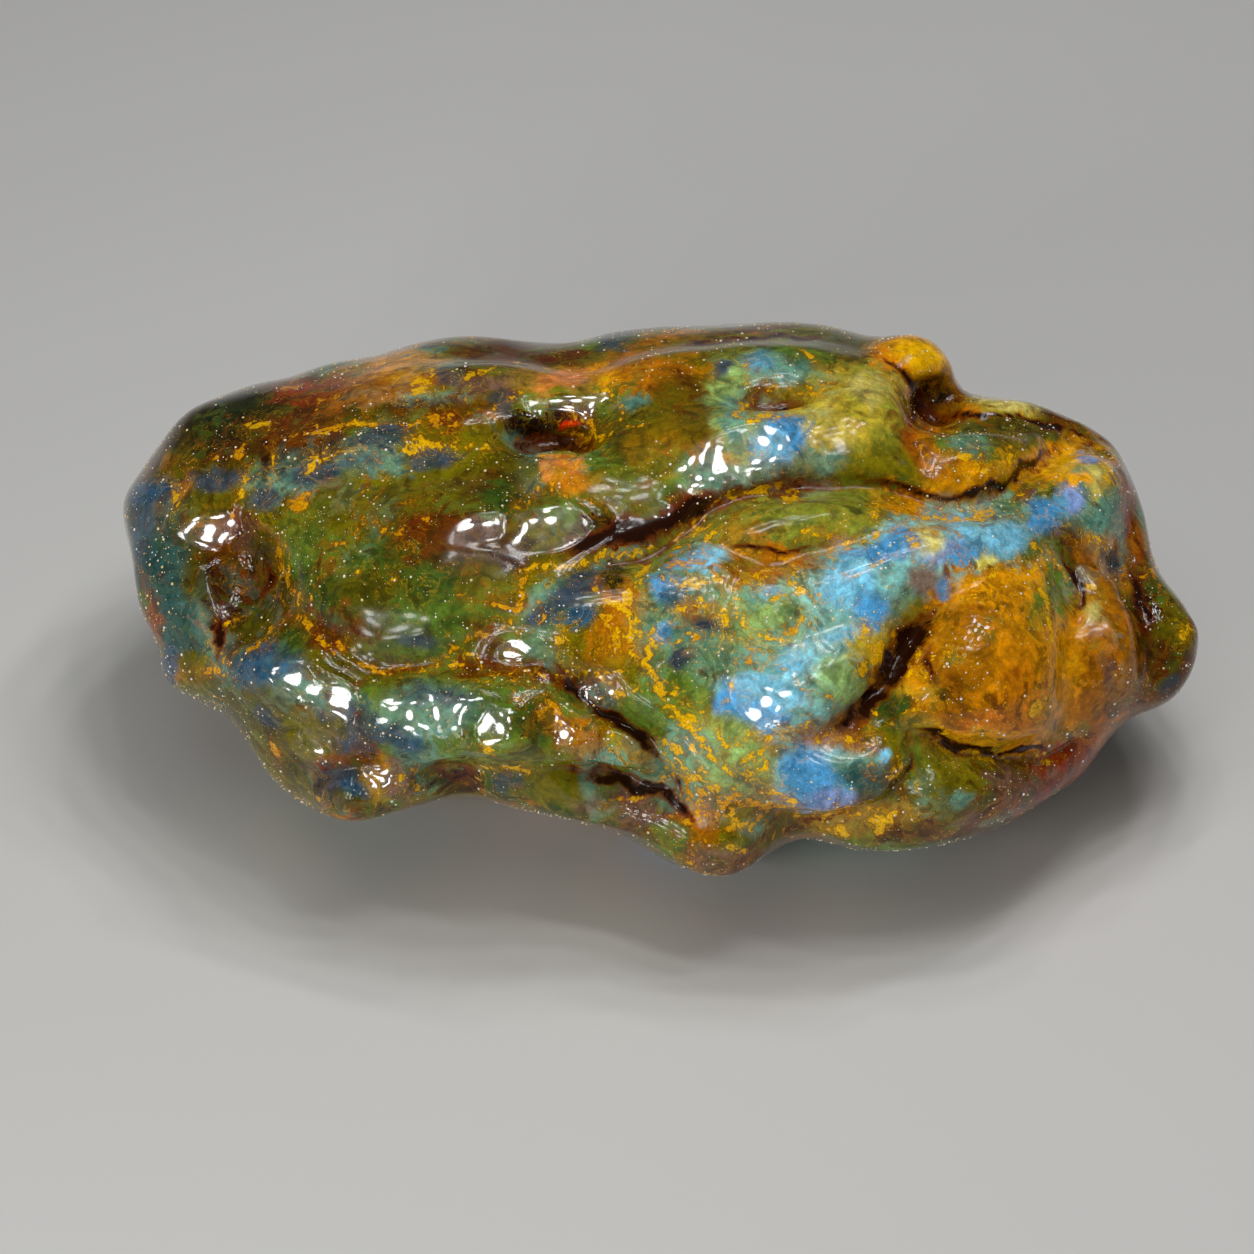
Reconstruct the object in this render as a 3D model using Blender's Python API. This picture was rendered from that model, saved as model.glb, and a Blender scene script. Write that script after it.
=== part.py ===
# A nugget of rough Dominican blue amber, worn round and polished, lying on its broad side.
# One natural solid: an outline that was read as seen from the near side, filled out in depth,
# with the swellings, folds and hollows of each side moved in or out of it.
#
# The shape is drawn in its own face frame, in millimetres: x runs to the right along the nugget,
# u runs up across it and w comes out of it. That frame leans back by LEAN_BACK from upright.

import math

import bmesh
import bpy
import numpy as np
from mathutils import Matrix, Vector

MM = 0.001
NAME = "amber_nugget"

# Driving sizes, in millimetres.
HALF_LENGTH = 53.8
HALF_HEIGHT = 27.6
HALF_DEPTH = 27.0
LEAN_BACK = math.radians(40.0)
# How far the middle of the depth moves back for each millimetre up the face, which keeps the
# nugget's broad side flat on the ground although the face leans back.
DEPTH_SLOPE = 0.36
# Below 1 the depth fills out towards the edge, as on a boulder.
FULLNESS = 0.86
# The depth loses this share towards the left and right tips, from this share of the half length.
TIP_LOSS = 0.16
TIP_START = 0.55
# The outline's small bumps and notches are blunted over this arc, in degrees, away from the edge.
# They last over these shares of the depth, towards the near side and towards the far side.
BLUNT_ARC = 16.0
NEAR_EDGE = 0.5
FAR_EDGE = 0.3

# The underside is worn flat from this height above its lowest point, over a soft edge.
WORN_HEIGHT = 3.2
WORN_EDGE = 0.8
FLAT_CUT = 0.3

# The relief of a side fades in over this range of how far the surface faces that side.
FACING_START, FACING_FULL = 0.05, 0.5
# How sharply one swelling takes over from the next, for each millimetre of height.
CRISPNESS = 1.6
# A hollow's wall: a larger number makes it steeper.
HOLLOW_WALL = 1.5
# A fold has this share of its depth at its two ends, and all of it this many half widths in.
FOLD_END_SHARE = 0.35
FOLD_END_LENGTH = 3.0

# The ball that the nugget starts from is turned, so that no row of its triangles follows an axis.
BALL_TURN = math.radians(7.0)
BALL_TURN_AXIS = (0.3, 0.5, 0.8)
ROUNDS_OF_SUBDIVISION = 6
SMOOTHING_ROUNDS = 4
TRIANGLES = 8800
# Points this close to the cutting plane, in metres, count as lying on it.
CUT_TOLERANCE = 1e-7
# Points of the smooth outline between two drawn ones, and directions that blunt_share looks in.
OUTLINE_STEPS = 8
BLUNT_STEPS = 9

# The outline as seen from the near side, clockwise from the left tip.
OUTLINE = [
    (-53.0, 10.0), (-51.5, 12.3), (-47.9, 17.8), (-46.0, 19.6), (-43.4, 20.6), (-39.9, 21.7),
    (-36.8, 21.9), (-34.6, 22.9), (-31.5, 24.3), (-27.5, 24.6), (-23.0, 25.8), (-18.2, 26.6),
    (-14.8, 25.9), (-7.6, 25.6), (-4.6, 26.8), (-0.5, 27.4), (10.1, 28.2), (17.9, 27.7),
    (21.8, 26.4), (26.9, 26.5), (29.5, 25.6), (30.7, 23.9), (30.7, 22.2), (31.8, 20.5),
    (36.2, 20.6), (39.3, 20.1), (41.7, 18.6), (44.6, 17.4), (47.0, 15.4), (48.3, 12.9),
    (49.3, 10.0), (49.9, 6.8), (50.9, 3.5), (53.2, 0.5), (54.4, -2.2), (54.6, -4.6),
    (53.6, -8.0), (51.5, -10.4), (48.4, -11.4), (47.0, -12.7), (44.6, -15.8), (42.3, -18.2),
    (39.7, -19.9), (36.4, -21.9), (33.2, -23.3), (29.0, -24.3), (23.5, -24.9), (19.4, -24.7),
    (16.5, -23.5), (14.5, -23.5), (12.1, -25.0), (10.4, -26.4), (8.2, -27.4), (5.1, -27.3),
    (1.6, -25.6), (-1.5, -23.5), (-5.5, -22.4), (-10.7, -21.4), (-15.0, -20.0), (-17.2, -19.1),
    (-21.7, -19.5), (-25.0, -21.0), (-29.5, -21.9), (-32.5, -21.3), (-36.0, -18.9), (-38.7, -16.2),
    (-41.1, -12.7), (-42.6, -10.9), (-47.2, -9.1), (-48.5, -7.6), (-49.0, -4.4), (-50.9, -1.3),
    (-52.3, 4.0),
]

# Swellings: middle x and u, half width along and across, turn in degrees, height.
NEAR_SWELLINGS = [
    (-47.5, 2.0, 3.6, 9.0, 0, 1.0),
    (-42.0, 15.5, 8.0, 4.5, 25, 1.0),
    (-35.5, -6.5, 8.5, 4.4, -8, 2.4),
    (-29.0, -18.6, 5.6, 3.6, -12, 2.6),
    (-22.0, 4.0, 14.0, 8.5, 6, 2.2),
    (-27.0, 15.5, 12.0, 4.0, 18, 1.4),
    (-16.0, -11.5, 13.0, 4.4, -4, 2.4),
    (-19.0, 21.5, 12.0, 3.2, 6, 1.5),
    (-8.0, -1.0, 8.0, 4.6, 30, 1.6),
    (-6.5, 11.5, 8.0, 4.5, -8, 1.7),
    (-4.5, -21.0, 8.0, 2.0, -10, 1.4),
    (3.0, 0.4, 4.8, 5.2, 30, 1.8),
    (6.0, -24.6, 6.5, 3.0, -8, 2.4),
    (8.0, -17.0, 4.4, 4.2, -20, 1.6),
    (8.5, 14.8, 8.5, 4.6, 14, 2.8),
    (10.0, 24.0, 13.0, 3.6, 2, 1.6),
    (11.5, -1.4, 6.2, 6.2, 0, 2.0),
    (15.0, 7.8, 9.5, 3.2, 8, 2.0),
    (16.5, -8.6, 8.5, 5.6, 30, 3.0),
    (17.8, -17.2, 8.0, 4.4, -4, 2.8),
    (20.5, 17.6, 7.0, 6.2, 20, 2.6),
    (23.0, -22.8, 8.0, 2.2, 2, 1.9),
    (25.0, 4.2, 12.5, 4.2, 18, 2.5),
    (26.6, 23.6, 5.0, 3.0, -16, 3.2),
    (30.0, -19.2, 9.5, 4.0, 6, 2.0),
    (33.0, 14.2, 7.6, 3.8, 4, 2.2),
    (33.4, -6.6, 9.6, 8.8, 0, 3.6),
    (37.0, 19.3, 6.0, 1.6, -6, 1.8),
    (43.5, 11.6, 4.6, 5.4, -35, 2.6),
    (45.2, -4.6, 4.2, 6.4, 0, 1.9),
    (52.0, -3.6, 3.2, 6.4, 10, 1.4),
]
FAR_SWELLINGS = [
    (-44.0, 6.0, 9.0, 9.0, 10, 2.0),
    (-31.0, -8.0, 11.0, 7.5, -14, 2.6),
    (-27.0, 13.0, 12.0, 6.5, 12, 2.4),
    (-8.0, 17.0, 10.0, 6.0, -10, 2.2),
    (-8.0, -2.0, 12.0, 7.0, 24, 2.8),
    (-4.0, -17.0, 13.0, 5.0, -4, 2.0),
    (11.0, 6.0, 9.0, 7.0, 30, 2.6),
    (16.0, -9.0, 9.0, 7.0, -20, 2.4),
    (20.0, 19.0, 11.0, 5.0, -6, 2.2),
    (31.0, 4.0, 9.5, 8.5, 10, 3.0),
    (33.0, -13.0, 9.0, 6.0, 12, 2.2),
    (45.0, -3.0, 7.5, 7.5, 0, 2.2),
]

# Hollows, written as the swellings are, with their depth last.
NEAR_HOLLOWS = [
    (-40.6, 1.0, 4.4, 7.6, 8, 3.4),
    (-9.4, 16.6, 4.8, 2.0, 4, 2.8),
    (12.6, 19.8, 4.2, 1.5, 8, 1.8),
    (28.6, 19.3, 3.2, 2.6, -12, 3.6),
    (-19.5, -18.0, 3.6, 1.8, 0, 2.2),
    (-2.5, -18.6, 6.0, 2.0, -14, 3.2),
]
FAR_HOLLOWS = [
    (-18.0, 5.0, 5.5, 2.6, 30, 2.4),
    (22.0, -1.0, 3.6, 6.0, 10, 2.4),
    (1.0, 10.0, 3.4, 2.6, 0, 2.0),
    (38.0, 12.0, 6.0, 2.4, -24, 2.2),
]

# Folds: depth, half width, and the points that the fold runs through.
NEAR_FOLDS = [
    (2.6, 2.1, [(-6.0, 3.0), (0.0, 4.8), (3.0, 7.1), (7.0, 9.6), (11.0, 10.8), (17.0, 11.6),
                (21.5, 11.5), (25.0, 10.6), (28.0, 9.4), (31.0, 9.2), (34.5, 10.8), (38.0, 13.6),
                (41.5, 15.8), (45.5, 14.6)]),
    (1.6, 1.4, [(7.0, 5.5), (9.5, 4.2), (13.0, 4.0), (17.0, 4.6), (21.0, 6.0), (26.0, 7.6)]),
    (3.4, 2.3, [(29.0, 0.6), (27.0, -1.2), (25.2, -3.0), (23.6, -5.6), (22.0, -8.6),
                (19.8, -11.4), (17.6, -13.4), (14.0, -14.4)]),
    (2.6, 1.8, [(24.6, -12.8), (27.0, -13.0), (29.0, -14.0), (31.0, -15.0), (35.0, -15.4),
                (38.5, -15.3), (42.0, -14.2)]),
    (2.6, 1.7, [(-10.0, -6.0), (-7.2, -8.6), (-4.8, -10.8), (-2.5, -12.0), (0.5, -14.6),
                (2.2, -17.2), (4.2, -19.8), (6.5, -21.8)]),
    (2.0, 1.4, [(29.5, 18.3), (33.0, 18.2), (37.0, 18.2), (41.0, 17.0), (45.0, 15.0)]),
    (2.0, 1.4, [(40.3, 7.0), (41.2, 3.4), (42.2, 0.4), (41.8, -3.0), (41.2, -8.0), (40.6, -12.0)]),
    (2.4, 1.5, [(47.6, 8.0), (47.9, 3.0), (48.7, -1.4), (49.8, -5.4), (49.6, -9.0)]),
    (1.8, 1.6, [(-36.0, -2.0), (-31.0, -3.6), (-28.0, -6.8), (-22.0, -6.8), (-17.0, -5.6),
                (-12.0, -6.6), (-8.0, -7.6)]),
    (1.2, 1.3, [(-24.0, 24.2), (-15.0, 24.0), (-8.0, 23.6), (-3.0, 24.6), (4.0, 25.6),
                (11.0, 26.0), (18.0, 25.8), (21.8, 24.6), (24.0, 22.6)]),
    (1.8, 1.2, [(-34.0, -15.4), (-31.0, -16.4), (-27.5, -16.0), (-25.0, -17.4), (-23.6, -19.4)]),
    (1.8, 1.4, [(11.5, -19.6), (13.6, -21.8), (17.0, -21.8), (20.5, -20.4), (24.0, -18.6),
                (25.6, -16.0), (25.0, -13.4)]),
    (1.4, 1.3, [(-36.6, 6.0), (-35.2, 1.0), (-33.4, -1.6)]),
    (1.2, 1.5, [(-36.0, 12.6), (-31.0, 11.6), (-25.0, 12.0), (-18.0, 12.6), (-12.0, 11.2),
                (-7.0, 8.4), (-3.0, 6.4)]),
]
FAR_FOLDS = [
    (2.6, 2.0, [(-49.0, 9.0), (-40.0, 12.0), (-31.0, 6.0), (-20.0, 3.0), (-13.0, 8.0), (-3.0, 11.0),
                (7.0, 15.0), (17.0, 12.0), (26.0, 14.0), (36.0, 13.0), (44.0, 9.0)]),
    (2.4, 1.8, [(-42.0, -8.0), (-34.0, -1.0), (-22.0, -3.0), (-15.0, -9.0), (-4.0, -11.0),
                (6.0, -6.0), (13.0, -1.5), (21.0, -3.5), (27.0, -6.0), (38.0, -6.0)]),
    (2.0, 1.7, [(-19.0, 22.0), (-16.0, 14.0), (-18.0, 5.0), (-15.0, -2.0), (-18.0, -12.0)]),
    (2.2, 1.8, [(23.0, 12.0), (20.5, 4.0), (22.5, -3.0), (25.0, -10.0), (23.0, -18.0)]),
    (1.8, 1.6, [(6.0, -6.0), (7.0, -13.0), (11.0, -17.0)]),
    (1.8, 1.6, [(36.0, 13.0), (38.5, 4.0), (38.0, -6.0), (41.0, -12.0)]),
]

AMBER = {"colour": (0.42, 0.27, 0.05, 1.0), "roughness": 0.12, "metallic": 0.0, "ior": 1.54}


def clear_scene():
    for thing in list(bpy.data.objects):
        bpy.data.objects.remove(thing, do_unlink=True)


def closed_curve(points):
    # A smooth closed curve that passes through every point.
    p = np.array(points, dtype=float)
    before, after, beyond = np.roll(p, 1, 0), np.roll(p, -1, 0), np.roll(p, -2, 0)
    t = np.linspace(0.0, 1.0, OUTLINE_STEPS, endpoint=False)[None, :, None]
    a, b, c, d = (q[:, None, :] for q in (before, p, after, beyond))
    bend = (c - a) * t + (2 * a - 5 * b + 4 * c - d) * t**2 + (3 * b - a - 3 * c + d) * t**3
    return (b + 0.5 * bend).reshape(-1, 2)


def oval_reach(angles):
    # How far a plain oval of the nugget's size lies from the middle of the face.
    return 1.0 / np.hypot(np.cos(angles) / HALF_LENGTH, np.sin(angles) / HALF_HEIGHT)


def outline_share(angles):
    # How far the outline lies from the middle, as a share of the plain oval, in each direction.
    curve = closed_curve(OUTLINE)
    turn = np.arctan2(curve[:, 1], curve[:, 0])
    order = np.argsort(turn)
    share = np.hypot(curve[:, 0], curve[:, 1])[order] / oval_reach(turn[order])
    return np.interp(angles, turn[order], share, period=2 * math.pi)


def blunt_share(angles):
    # The same without the small bumps and notches.
    steps = np.radians(np.linspace(-BLUNT_ARC, BLUNT_ARC, BLUNT_STEPS))
    return np.mean([outline_share(angles + step) for step in steps], axis=0)


def smooth_step(low, high, value):
    t = np.clip((value - low) / (high - low), 0.0, 1.0)
    return t * t * (3.0 - 2.0 * t)


def oval_distance(face, middle_x, middle_u, half_along, half_across, turn):
    # 0 in the middle of the oval and 1 on its edge.
    angle = math.radians(turn)
    dx, du = face[:, 0] - middle_x, face[:, 1] - middle_u
    along = dx * math.cos(angle) + du * math.sin(angle)
    across = du * math.cos(angle) - dx * math.sin(angle)
    return np.hypot(along / half_along, across / half_across)


def swelling_height(face, swellings):
    # Neighbouring swellings meet in a valley and don't pile up on each other.
    total = np.ones(len(face))
    for *oval, height in swellings:
        rise = height * (1.0 - oval_distance(face, *oval) ** 2)
        total += np.exp(CRISPNESS * np.maximum(rise, -2.0 * height))
    return np.log(total) / CRISPNESS


def hollow_depth(face, hollows):
    total = np.zeros(len(face))
    for *oval, depth in hollows:
        total += depth * np.exp(-HOLLOW_WALL * oval_distance(face, *oval) ** 3)
    return total


def fold_depth(face, folds):
    # Each fold is a groove that fades out over its two ends.
    total = np.zeros(len(face))
    for depth, half_width, points in folds:
        line = np.array(points)
        lengths = np.hypot(*np.diff(line, axis=0).T)
        run = np.concatenate([[0.0], np.cumsum(lengths)])
        nearest, place = np.full(len(face), np.inf), np.zeros(len(face))
        for start, end, length, done in zip(line[:-1], line[1:], lengths, run[:-1]):
            t = np.clip((face - start) @ (end - start) / length**2, 0.0, 1.0)
            gap = np.hypot(*(face - start - t[:, None] * (end - start)).T)
            closer = gap < nearest
            nearest[closer] = gap[closer]
            place[closer] = done + t[closer] * length
        ends = np.minimum(place, run[-1] - place)
        full = smooth_step(0.0, FOLD_END_LENGTH * half_width, ends)
        fade = FOLD_END_SHARE + (1.0 - FOLD_END_SHARE) * full
        total = np.maximum(total, depth * fade * np.exp(-((nearest / half_width) ** 2)))
    return total


def face_points(directions):
    # Places each point of a unit ball on the nugget's plain body, before its relief.
    x = directions[:, 0] * HALF_LENGTH
    u = directions[:, 1] * HALF_HEIGHT
    w = directions[:, 2]
    angle = np.arctan2(u, x)
    blunt = blunt_share(angle)
    edge = np.exp(-((w / np.where(w > 0, NEAR_EDGE, FAR_EDGE)) ** 2))
    share = blunt + (outline_share(angle) - blunt) * edge
    tips = 1.0 - TIP_LOSS * smooth_step(TIP_START, 1.0, np.abs(directions[:, 0]))
    depth = HALF_DEPTH * tips * np.sign(w) * np.abs(w) ** FULLNESS
    return np.column_stack([x * share, u * share, depth - DEPTH_SLOPE * u * share])


def relief(points, facing):
    # Millimetres to move each point outwards. The outline itself stays where it was drawn.
    face = points[:, :2]
    near = (
        swelling_height(face, NEAR_SWELLINGS)
        - hollow_depth(face, NEAR_HOLLOWS)
        - fold_depth(face, NEAR_FOLDS)
    )
    far = (
        swelling_height(face, FAR_SWELLINGS)
        - hollow_depth(face, FAR_HOLLOWS)
        - fold_depth(face, FAR_FOLDS)
    )
    near *= smooth_step(FACING_START, FACING_FULL, facing)
    far *= smooth_step(FACING_START, FACING_FULL, -facing)
    return near + far


def stand_up(points):
    # Turns the leaning face frame into the world's x, y and z.
    lean_sin, lean_cos = math.sin(LEAN_BACK), math.cos(LEAN_BACK)
    x, u, w = points.T
    return np.column_stack([x, u * lean_sin - w * lean_cos, u * lean_cos + w * lean_sin])


def wear_underside(points):
    # Presses the lowest stretch softly towards one level.
    level = points[:, 2].min() + WORN_HEIGHT
    above = (points[:, 2] - level) / WORN_EDGE
    worn = level + WORN_EDGE * np.logaddexp(0.0, above)
    return np.column_stack([points[:, :2], worn])


def put_points(mesh, points):
    mesh.vertices.foreach_set("co", (points * MM).astype(np.float32).ravel())
    mesh.update()


def normals_of(mesh):
    normals = np.zeros(len(mesh.vertices) * 3, dtype=np.float32)
    mesh.vertices.foreach_get("normal", normals)
    return normals.reshape(-1, 3)


def shape_nugget(nugget):
    mesh = nugget.data
    ball = np.zeros(len(mesh.vertices) * 3, dtype=np.float32)
    mesh.vertices.foreach_get("co", ball)
    ball = ball.reshape(-1, 3).astype(float)
    body = face_points(ball / np.linalg.norm(ball, axis=1)[:, None])
    put_points(mesh, body)
    normals = normals_of(mesh)
    body += normals * relief(body, normals[:, 2])[:, None]
    put_points(mesh, wear_underside(stand_up(body)))


def smooth_and_thin_out(nugget):
    # Rounds the folds off, then leaves fewer triangles where the surface is smooth.
    smooth = nugget.modifiers.new("rounded_folds", "SMOOTH")
    smooth.factor = 0.5
    smooth.iterations = SMOOTHING_ROUNDS
    fewer = nugget.modifiers.new("fewer_triangles", "DECIMATE")
    fewer.ratio = TRIANGLES / len(nugget.data.polygons)
    evaluated = nugget.evaluated_get(bpy.context.evaluated_depsgraph_get())
    thinned = bpy.data.meshes.new_from_object(evaluated)
    nugget.modifiers.clear()
    full, nugget.data = nugget.data, thinned
    bpy.data.meshes.remove(full)


def cut_rest_face(nugget):
    # A real flat face to lie on, cut just above the worn level, at z = 0.
    work = bmesh.new()
    work.from_mesh(nugget.data)
    level = min(v.co.z for v in work.verts) + FLAT_CUT * MM
    cut = bmesh.ops.bisect_plane(
        work, geom=work.verts[:] + work.edges[:] + work.faces[:], dist=CUT_TOLERANCE,
        plane_co=(0.0, 0.0, level), plane_no=(0.0, 0.0, 1.0), clear_inner=True,
    )
    rim = [e for e in cut["geom_cut"] if isinstance(e, bmesh.types.BMEdge)]
    bmesh.ops.contextual_create(work, geom=rim)
    bmesh.ops.triangulate(work, faces=[f for f in work.faces if len(f.verts) > 3])
    low = Vector(min(v.co[i] for v in work.verts) for i in range(3))
    high = Vector(max(v.co[i] for v in work.verts) for i in range(3))
    middle = (low + high) / 2.0
    bmesh.ops.translate(work, verts=work.verts, vec=(-middle.x, -middle.y, -level))
    bmesh.ops.recalc_face_normals(work, faces=work.faces[:])
    work.to_mesh(nugget.data)
    work.free()


def amber_material():
    material = bpy.data.materials.new("amber")
    material.use_nodes = True
    shader = material.node_tree.nodes["Principled BSDF"]
    shader.inputs["Base Color"].default_value = AMBER["colour"]
    shader.inputs["Roughness"].default_value = AMBER["roughness"]
    shader.inputs["Metallic"].default_value = AMBER["metallic"]
    shader.inputs["IOR"].default_value = AMBER["ior"]
    return material


def make_nugget():
    bpy.ops.mesh.primitive_ico_sphere_add(subdivisions=ROUNDS_OF_SUBDIVISION, radius=1.0)
    nugget = bpy.context.active_object
    nugget.name = NAME
    nugget.data.transform(Matrix.Rotation(BALL_TURN, 4, BALL_TURN_AXIS))
    shape_nugget(nugget)
    smooth_and_thin_out(nugget)
    cut_rest_face(nugget)
    nugget.data.materials.clear()
    nugget.data.materials.append(amber_material())
    nugget.data.shade_smooth()
    group = bpy.data.collections.new("dominican_blue_amber")
    bpy.context.scene.collection.children.link(group)
    for old in list(nugget.users_collection):
        old.objects.unlink(nugget)
    group.objects.link(nugget)
    return nugget


clear_scene()
make_nugget()
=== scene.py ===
import math

import bpy
import numpy as np
from mathutils import Matrix, Vector


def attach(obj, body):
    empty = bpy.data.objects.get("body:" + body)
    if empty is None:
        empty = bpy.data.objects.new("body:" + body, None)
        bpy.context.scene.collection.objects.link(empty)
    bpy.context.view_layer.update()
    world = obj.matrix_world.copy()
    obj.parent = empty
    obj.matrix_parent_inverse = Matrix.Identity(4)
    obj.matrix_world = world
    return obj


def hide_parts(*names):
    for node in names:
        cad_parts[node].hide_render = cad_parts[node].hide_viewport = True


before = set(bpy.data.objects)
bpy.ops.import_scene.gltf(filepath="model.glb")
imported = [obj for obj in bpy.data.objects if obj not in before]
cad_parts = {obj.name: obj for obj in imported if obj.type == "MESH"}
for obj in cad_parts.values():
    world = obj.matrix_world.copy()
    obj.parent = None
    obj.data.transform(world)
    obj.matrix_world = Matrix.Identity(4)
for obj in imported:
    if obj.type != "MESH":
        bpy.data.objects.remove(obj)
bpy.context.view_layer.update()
mm = 0.001

# The face that the photo shows leans back from upright. Its own places are in millimetres:
# x to the right, u up across it and w out of it, with their zero near the face's middle.
face = {
    "leanBack": math.radians(40.0),
    # where the middle of the nugget's outline lies
    "middleX": 0.8,
    "middleU": 0.4,
    # the middle and width of the camera's frame, and how far away the camera stands
    "frameX": -2.3,
    "frameU": -2.7,
    "frameWidth": 125.4,
    "cameraAway": 1000.0,
}
leanSin, leanCos = math.sin(face["leanBack"]), math.cos(face["leanBack"])
faceAxes = np.array([(1.0, 0.0, 0.0), (0.0, leanSin, leanCos), (0.0, -leanCos, leanSin)])


def coordsOf(mesh):
    points = np.zeros(len(mesh.vertices) * 3, dtype=np.float32)
    mesh.vertices.foreach_get("co", points)
    return points.reshape(-1, 3).astype(float)


def faceOrigin():
    # where the face's zero lies, from the middle of the CAD nugget as the camera sees it
    seen = coordsOf(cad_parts["amber_nugget"].data) @ faceAxes.T / mm
    middle = (seen.min(0) + seen.max(0)) / 2
    return middle - (face["middleX"], face["middleU"], 0.0)


origin = faceOrigin()


def toFace(points):
    return points @ faceAxes.T / mm - origin


def fromFace(places):
    return (places + origin) @ faceAxes * mm


def cameraPlace():
    return fromFace(np.array([face["frameX"], face["frameU"], face["cameraAway"]]))


def wave(points, size, seed, octaves=1):
    # smooth random waves, mostly between -1 and 1, as wide as size
    cells = 32
    gain = 1.4
    chance = np.random.RandomState(seed)
    total = np.zeros(len(points))
    for octave in range(octaves):
        heights = chance.uniform(-1.0, 1.0, (cells, cells, cells))
        spot = points / size * 2.0**octave + chance.uniform(0.0, cells, 3)
        corner = np.floor(spot).astype(int)
        share = spot - corner
        share = share * share * (3.0 - 2.0 * share)
        for step in np.ndindex(2, 2, 2):
            at = (corner + step) % cells
            weight = np.prod(np.where(step, share, 1.0 - share), axis=1)
            total += heights[at[:, 0], at[:, 1], at[:, 2]] * weight * 0.5**octave
    return total * gain


def bend(points, amount, size, seed, octaves=2):
    # the points moved about by random waves, which gives what is drawn on them uneven edges
    return points + amount * np.column_stack(
        [wave(points, size, seed + step, octaves) for step in range(points.shape[1])])


def ramp(low, high, value):
    share = np.clip((value - low) / (high - low), 0.0, 1.0)
    return share * share * (3.0 - 2.0 * share)


def ovalDistance(spots, x, u, along, across, turn):
    # 0 at an oval's middle and 1 on its edge
    angle = math.radians(turn)
    dx, du = spots[:, 0] - x, spots[:, 1] - u
    a = (dx * math.cos(angle) + du * math.sin(angle)) / along
    b = (du * math.cos(angle) - dx * math.sin(angle)) / across
    return np.hypot(a, b)


def patchMask(spots, oval, soft):
    return 1.0 - ramp(1.0 - soft, 1.0 + soft, ovalDistance(spots, *oval))


def lineDistance(spots, points):
    # distance from a run of points, the side of it that a spot is on, and how far in from its ends
    line = np.array(points, dtype=float)
    lengths = np.hypot(*np.diff(line, axis=0).T)
    run = np.concatenate([[0.0], np.cumsum(lengths)])
    nearest = np.full(len(spots), np.inf)
    side, place = np.zeros(len(spots)), np.zeros(len(spots))
    for start, end, length, done in zip(line[:-1], line[1:], lengths, run[:-1]):
        way = (end - start) / length
        rel = spots - start
        t = np.clip(rel @ way, 0.0, length)
        gap = np.hypot(*(rel - t[:, None] * way).T)
        closer = gap < nearest
        nearest[closer] = gap[closer]
        side[closer] = (way[0] * rel[:, 1] - way[1] * rel[:, 0])[closer]
        place[closer] = done + t[closer]
    return nearest, np.sign(side), np.minimum(place, run[-1] - place)


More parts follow.
